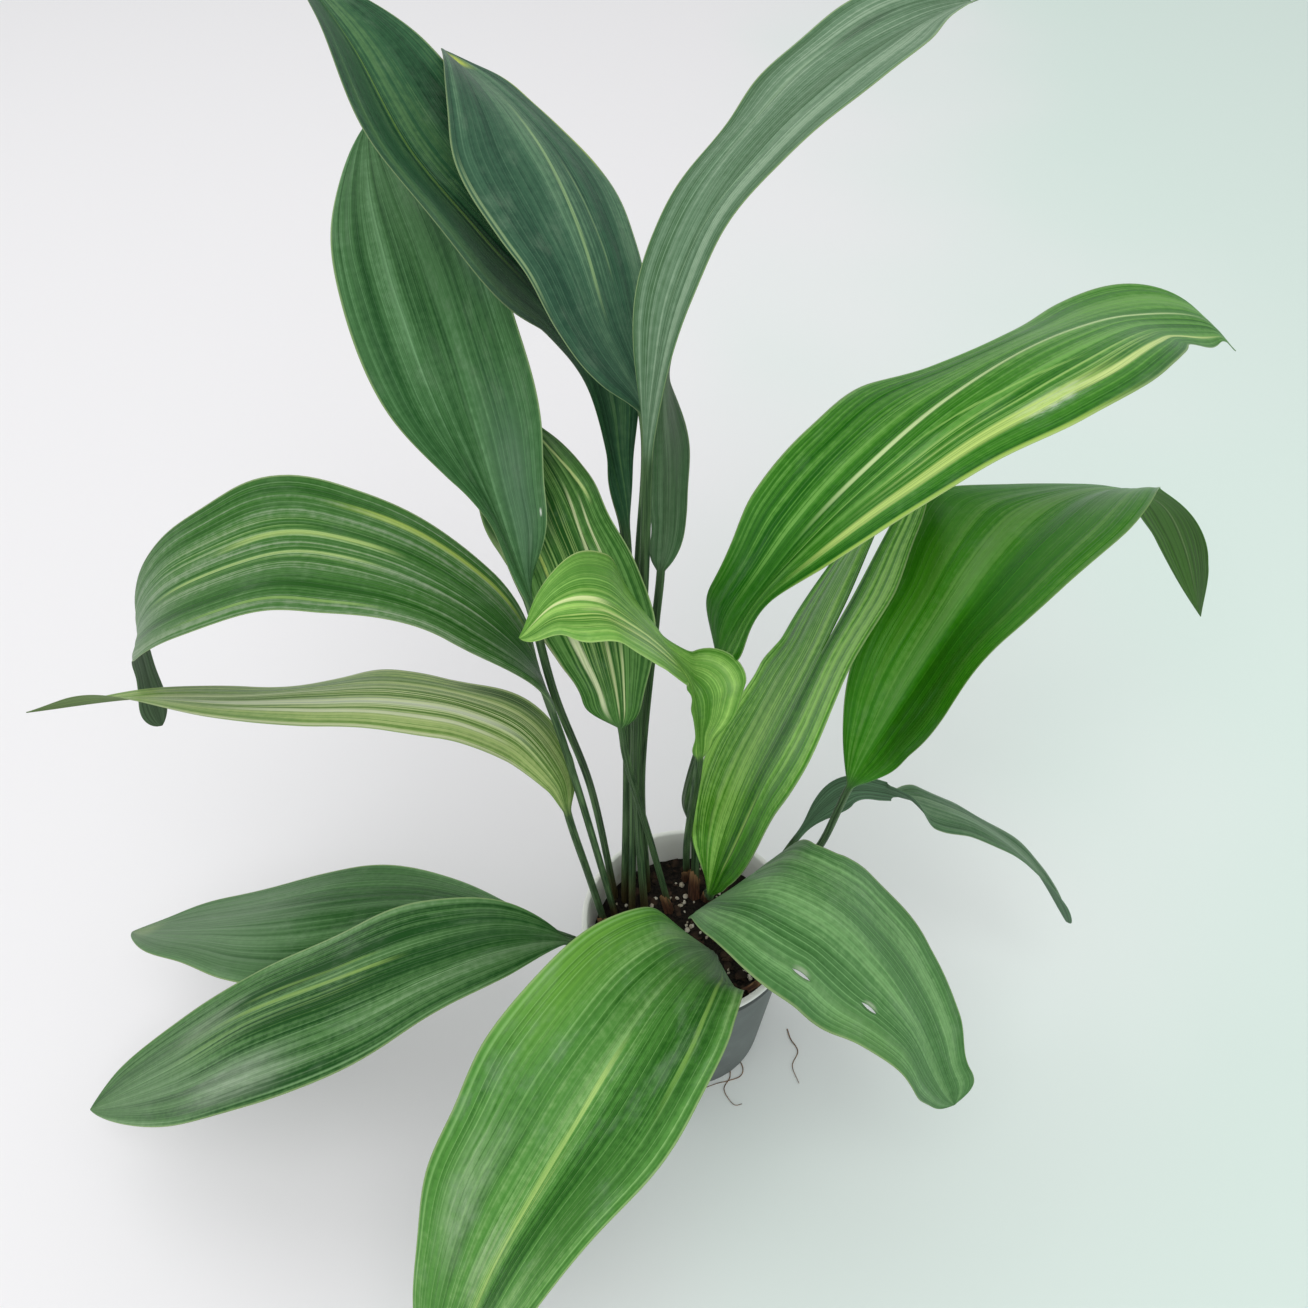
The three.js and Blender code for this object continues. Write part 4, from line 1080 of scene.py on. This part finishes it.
# name, foot, top, radius, how much of its round is open, turn of its middle, seed
SHEATHS = [
    ("sheath_torn_leaf", (15, 33, 119), (15, 14, 160), 4.4, 0.3, -1.4, 3),
    ("sheath_right_high", (6, 34, 119), (5, 36, 158), 4.3, 0.35, -2.2, 4),
    ("sheath_twisted", (0, 50, 119), (-0.6, 40, 150), 3.9, 0.35, -1.0, 5),
    ("sheath_striped", (-13, 22, 119), (-17.6, 21.6, 147), 3.7, 0.4, -1.9, 6),
    ("sheath_lower_right", (24, 20, 119), (20.5, 9, 141), 3.9, 0.4, -1.0, 7),
    ("sheath_right_thin", (33, 18, 119), (41, 18.8, 139), 3.7, 0.4, -1.3, 8),
    ("sheath_left_long", (-60, 10, 119), (-62.2, 7.6, 139), 3.8, 0.4, -1.6, 9),
    ("sheath_fallen", (38, -47, 125.5), (52, -37, 126.5), 3.4, 0.55, 1.57, 10),
]
for name, foot, top, radius, open_share, turn, seed in SHEATHS:
    sheath(name, foot, top, radius, open_share, turn, seed)

# thin roots from the drain holes, and a loose one, that lie on the floor
ROOTS = [
    [(34, -24, 0.6), (44, -44, 0.5), (42, -50, 0.5), (32, -54, 0.5), (24, -56, 0.5), (16, -59, 0.5)],
    [(30, -26, 0.6), (34, -50, 0.5), (29, -60, 0.5), (32, -68, 0.5), (37, -73, 0.5), (42, -72, 0.5)],
    [(80, -12, 0.7), (82, -20, 0.6), (87, -30, 0.6), (82, -42, 0.6), (86, -56, 0.6)],
]
for number, route in enumerate(ROOTS):
    strand(f"root_{number + 1}", route, 0.5, 0.25, (142, 112, 84))


# ---- camera, floor and light ---------------------------------------------

# the camera looks 48 degrees below the horizon
camera = add_object("camera", bpy.data.cameras.new("camera"))
camera.location = (-0.024, -0.478, 0.956)
camera.rotation_euler = (math.radians(90 - 48), 0, 0)
camera.data.sensor_width = 36
camera.data.lens = 36
camera.data.clip_start = 0.01
camera.data.clip_end = 50
bpy.context.scene.camera = camera

floor_mesh = bpy.data.meshes.new("floor")
reach = 9.0
floor_mesh.from_pydata([(-reach, -reach, 0), (reach, -reach, 0), (reach, reach, 0),
                        (-reach, reach, 0)], [], [(0, 1, 2, 3)])
floor = add_object("floor", floor_mesh)
g = Graph("floor")
# the floor is near white; its mint tint toward the right is painted green shade
x, y = g.split(g.place())[:2]
soft = g.noise(g.vector(x * 1.6, y * 1.6, 0.0))
from_left = x + y * -0.15 + (soft - 0.5) * 0.9
white_and_painted_green_shade = g.mix(g.step(from_left, -0.25, 0.55), (240, 238, 241), (222, 237, 231))
floor_mesh.materials.append(g.finish(white_and_painted_green_shade, 0.9, None, 0.1))


def soft_light(name, place, target, size, power):
    """A round soft light at a place, in metres, that shines at a target."""
    data = bpy.data.lights.new(name, "AREA")
    data.shape = "DISK"
    data.size = size
    data.energy = power
    data.color = (1.0, 1.0, 0.99)
    light = add_object(name, data)
    light.location = place
    direction = Vector(target) - Vector(place)
    light.rotation_euler = direction.to_track_quat("-Z", "Y").to_euler()


soft_light("window", (-1.5, 1.1, 2.3), (0, 0, 0.3), 2.2, 12)
soft_light("beside_camera", (-0.1, -1.4, 2.7), (0, 0, 0.2), 2.4, 32)

world = bpy.data.worlds.new("studio")
bpy.context.scene.world = world
world.use_nodes = True
background = world.node_tree.nodes["Background"]
background.inputs["Color"].default_value = (0.98, 1.0, 0.99, 1)
background.inputs["Strength"].default_value = 0.71
bpy.context.scene.view_settings.view_transform = "Standard"
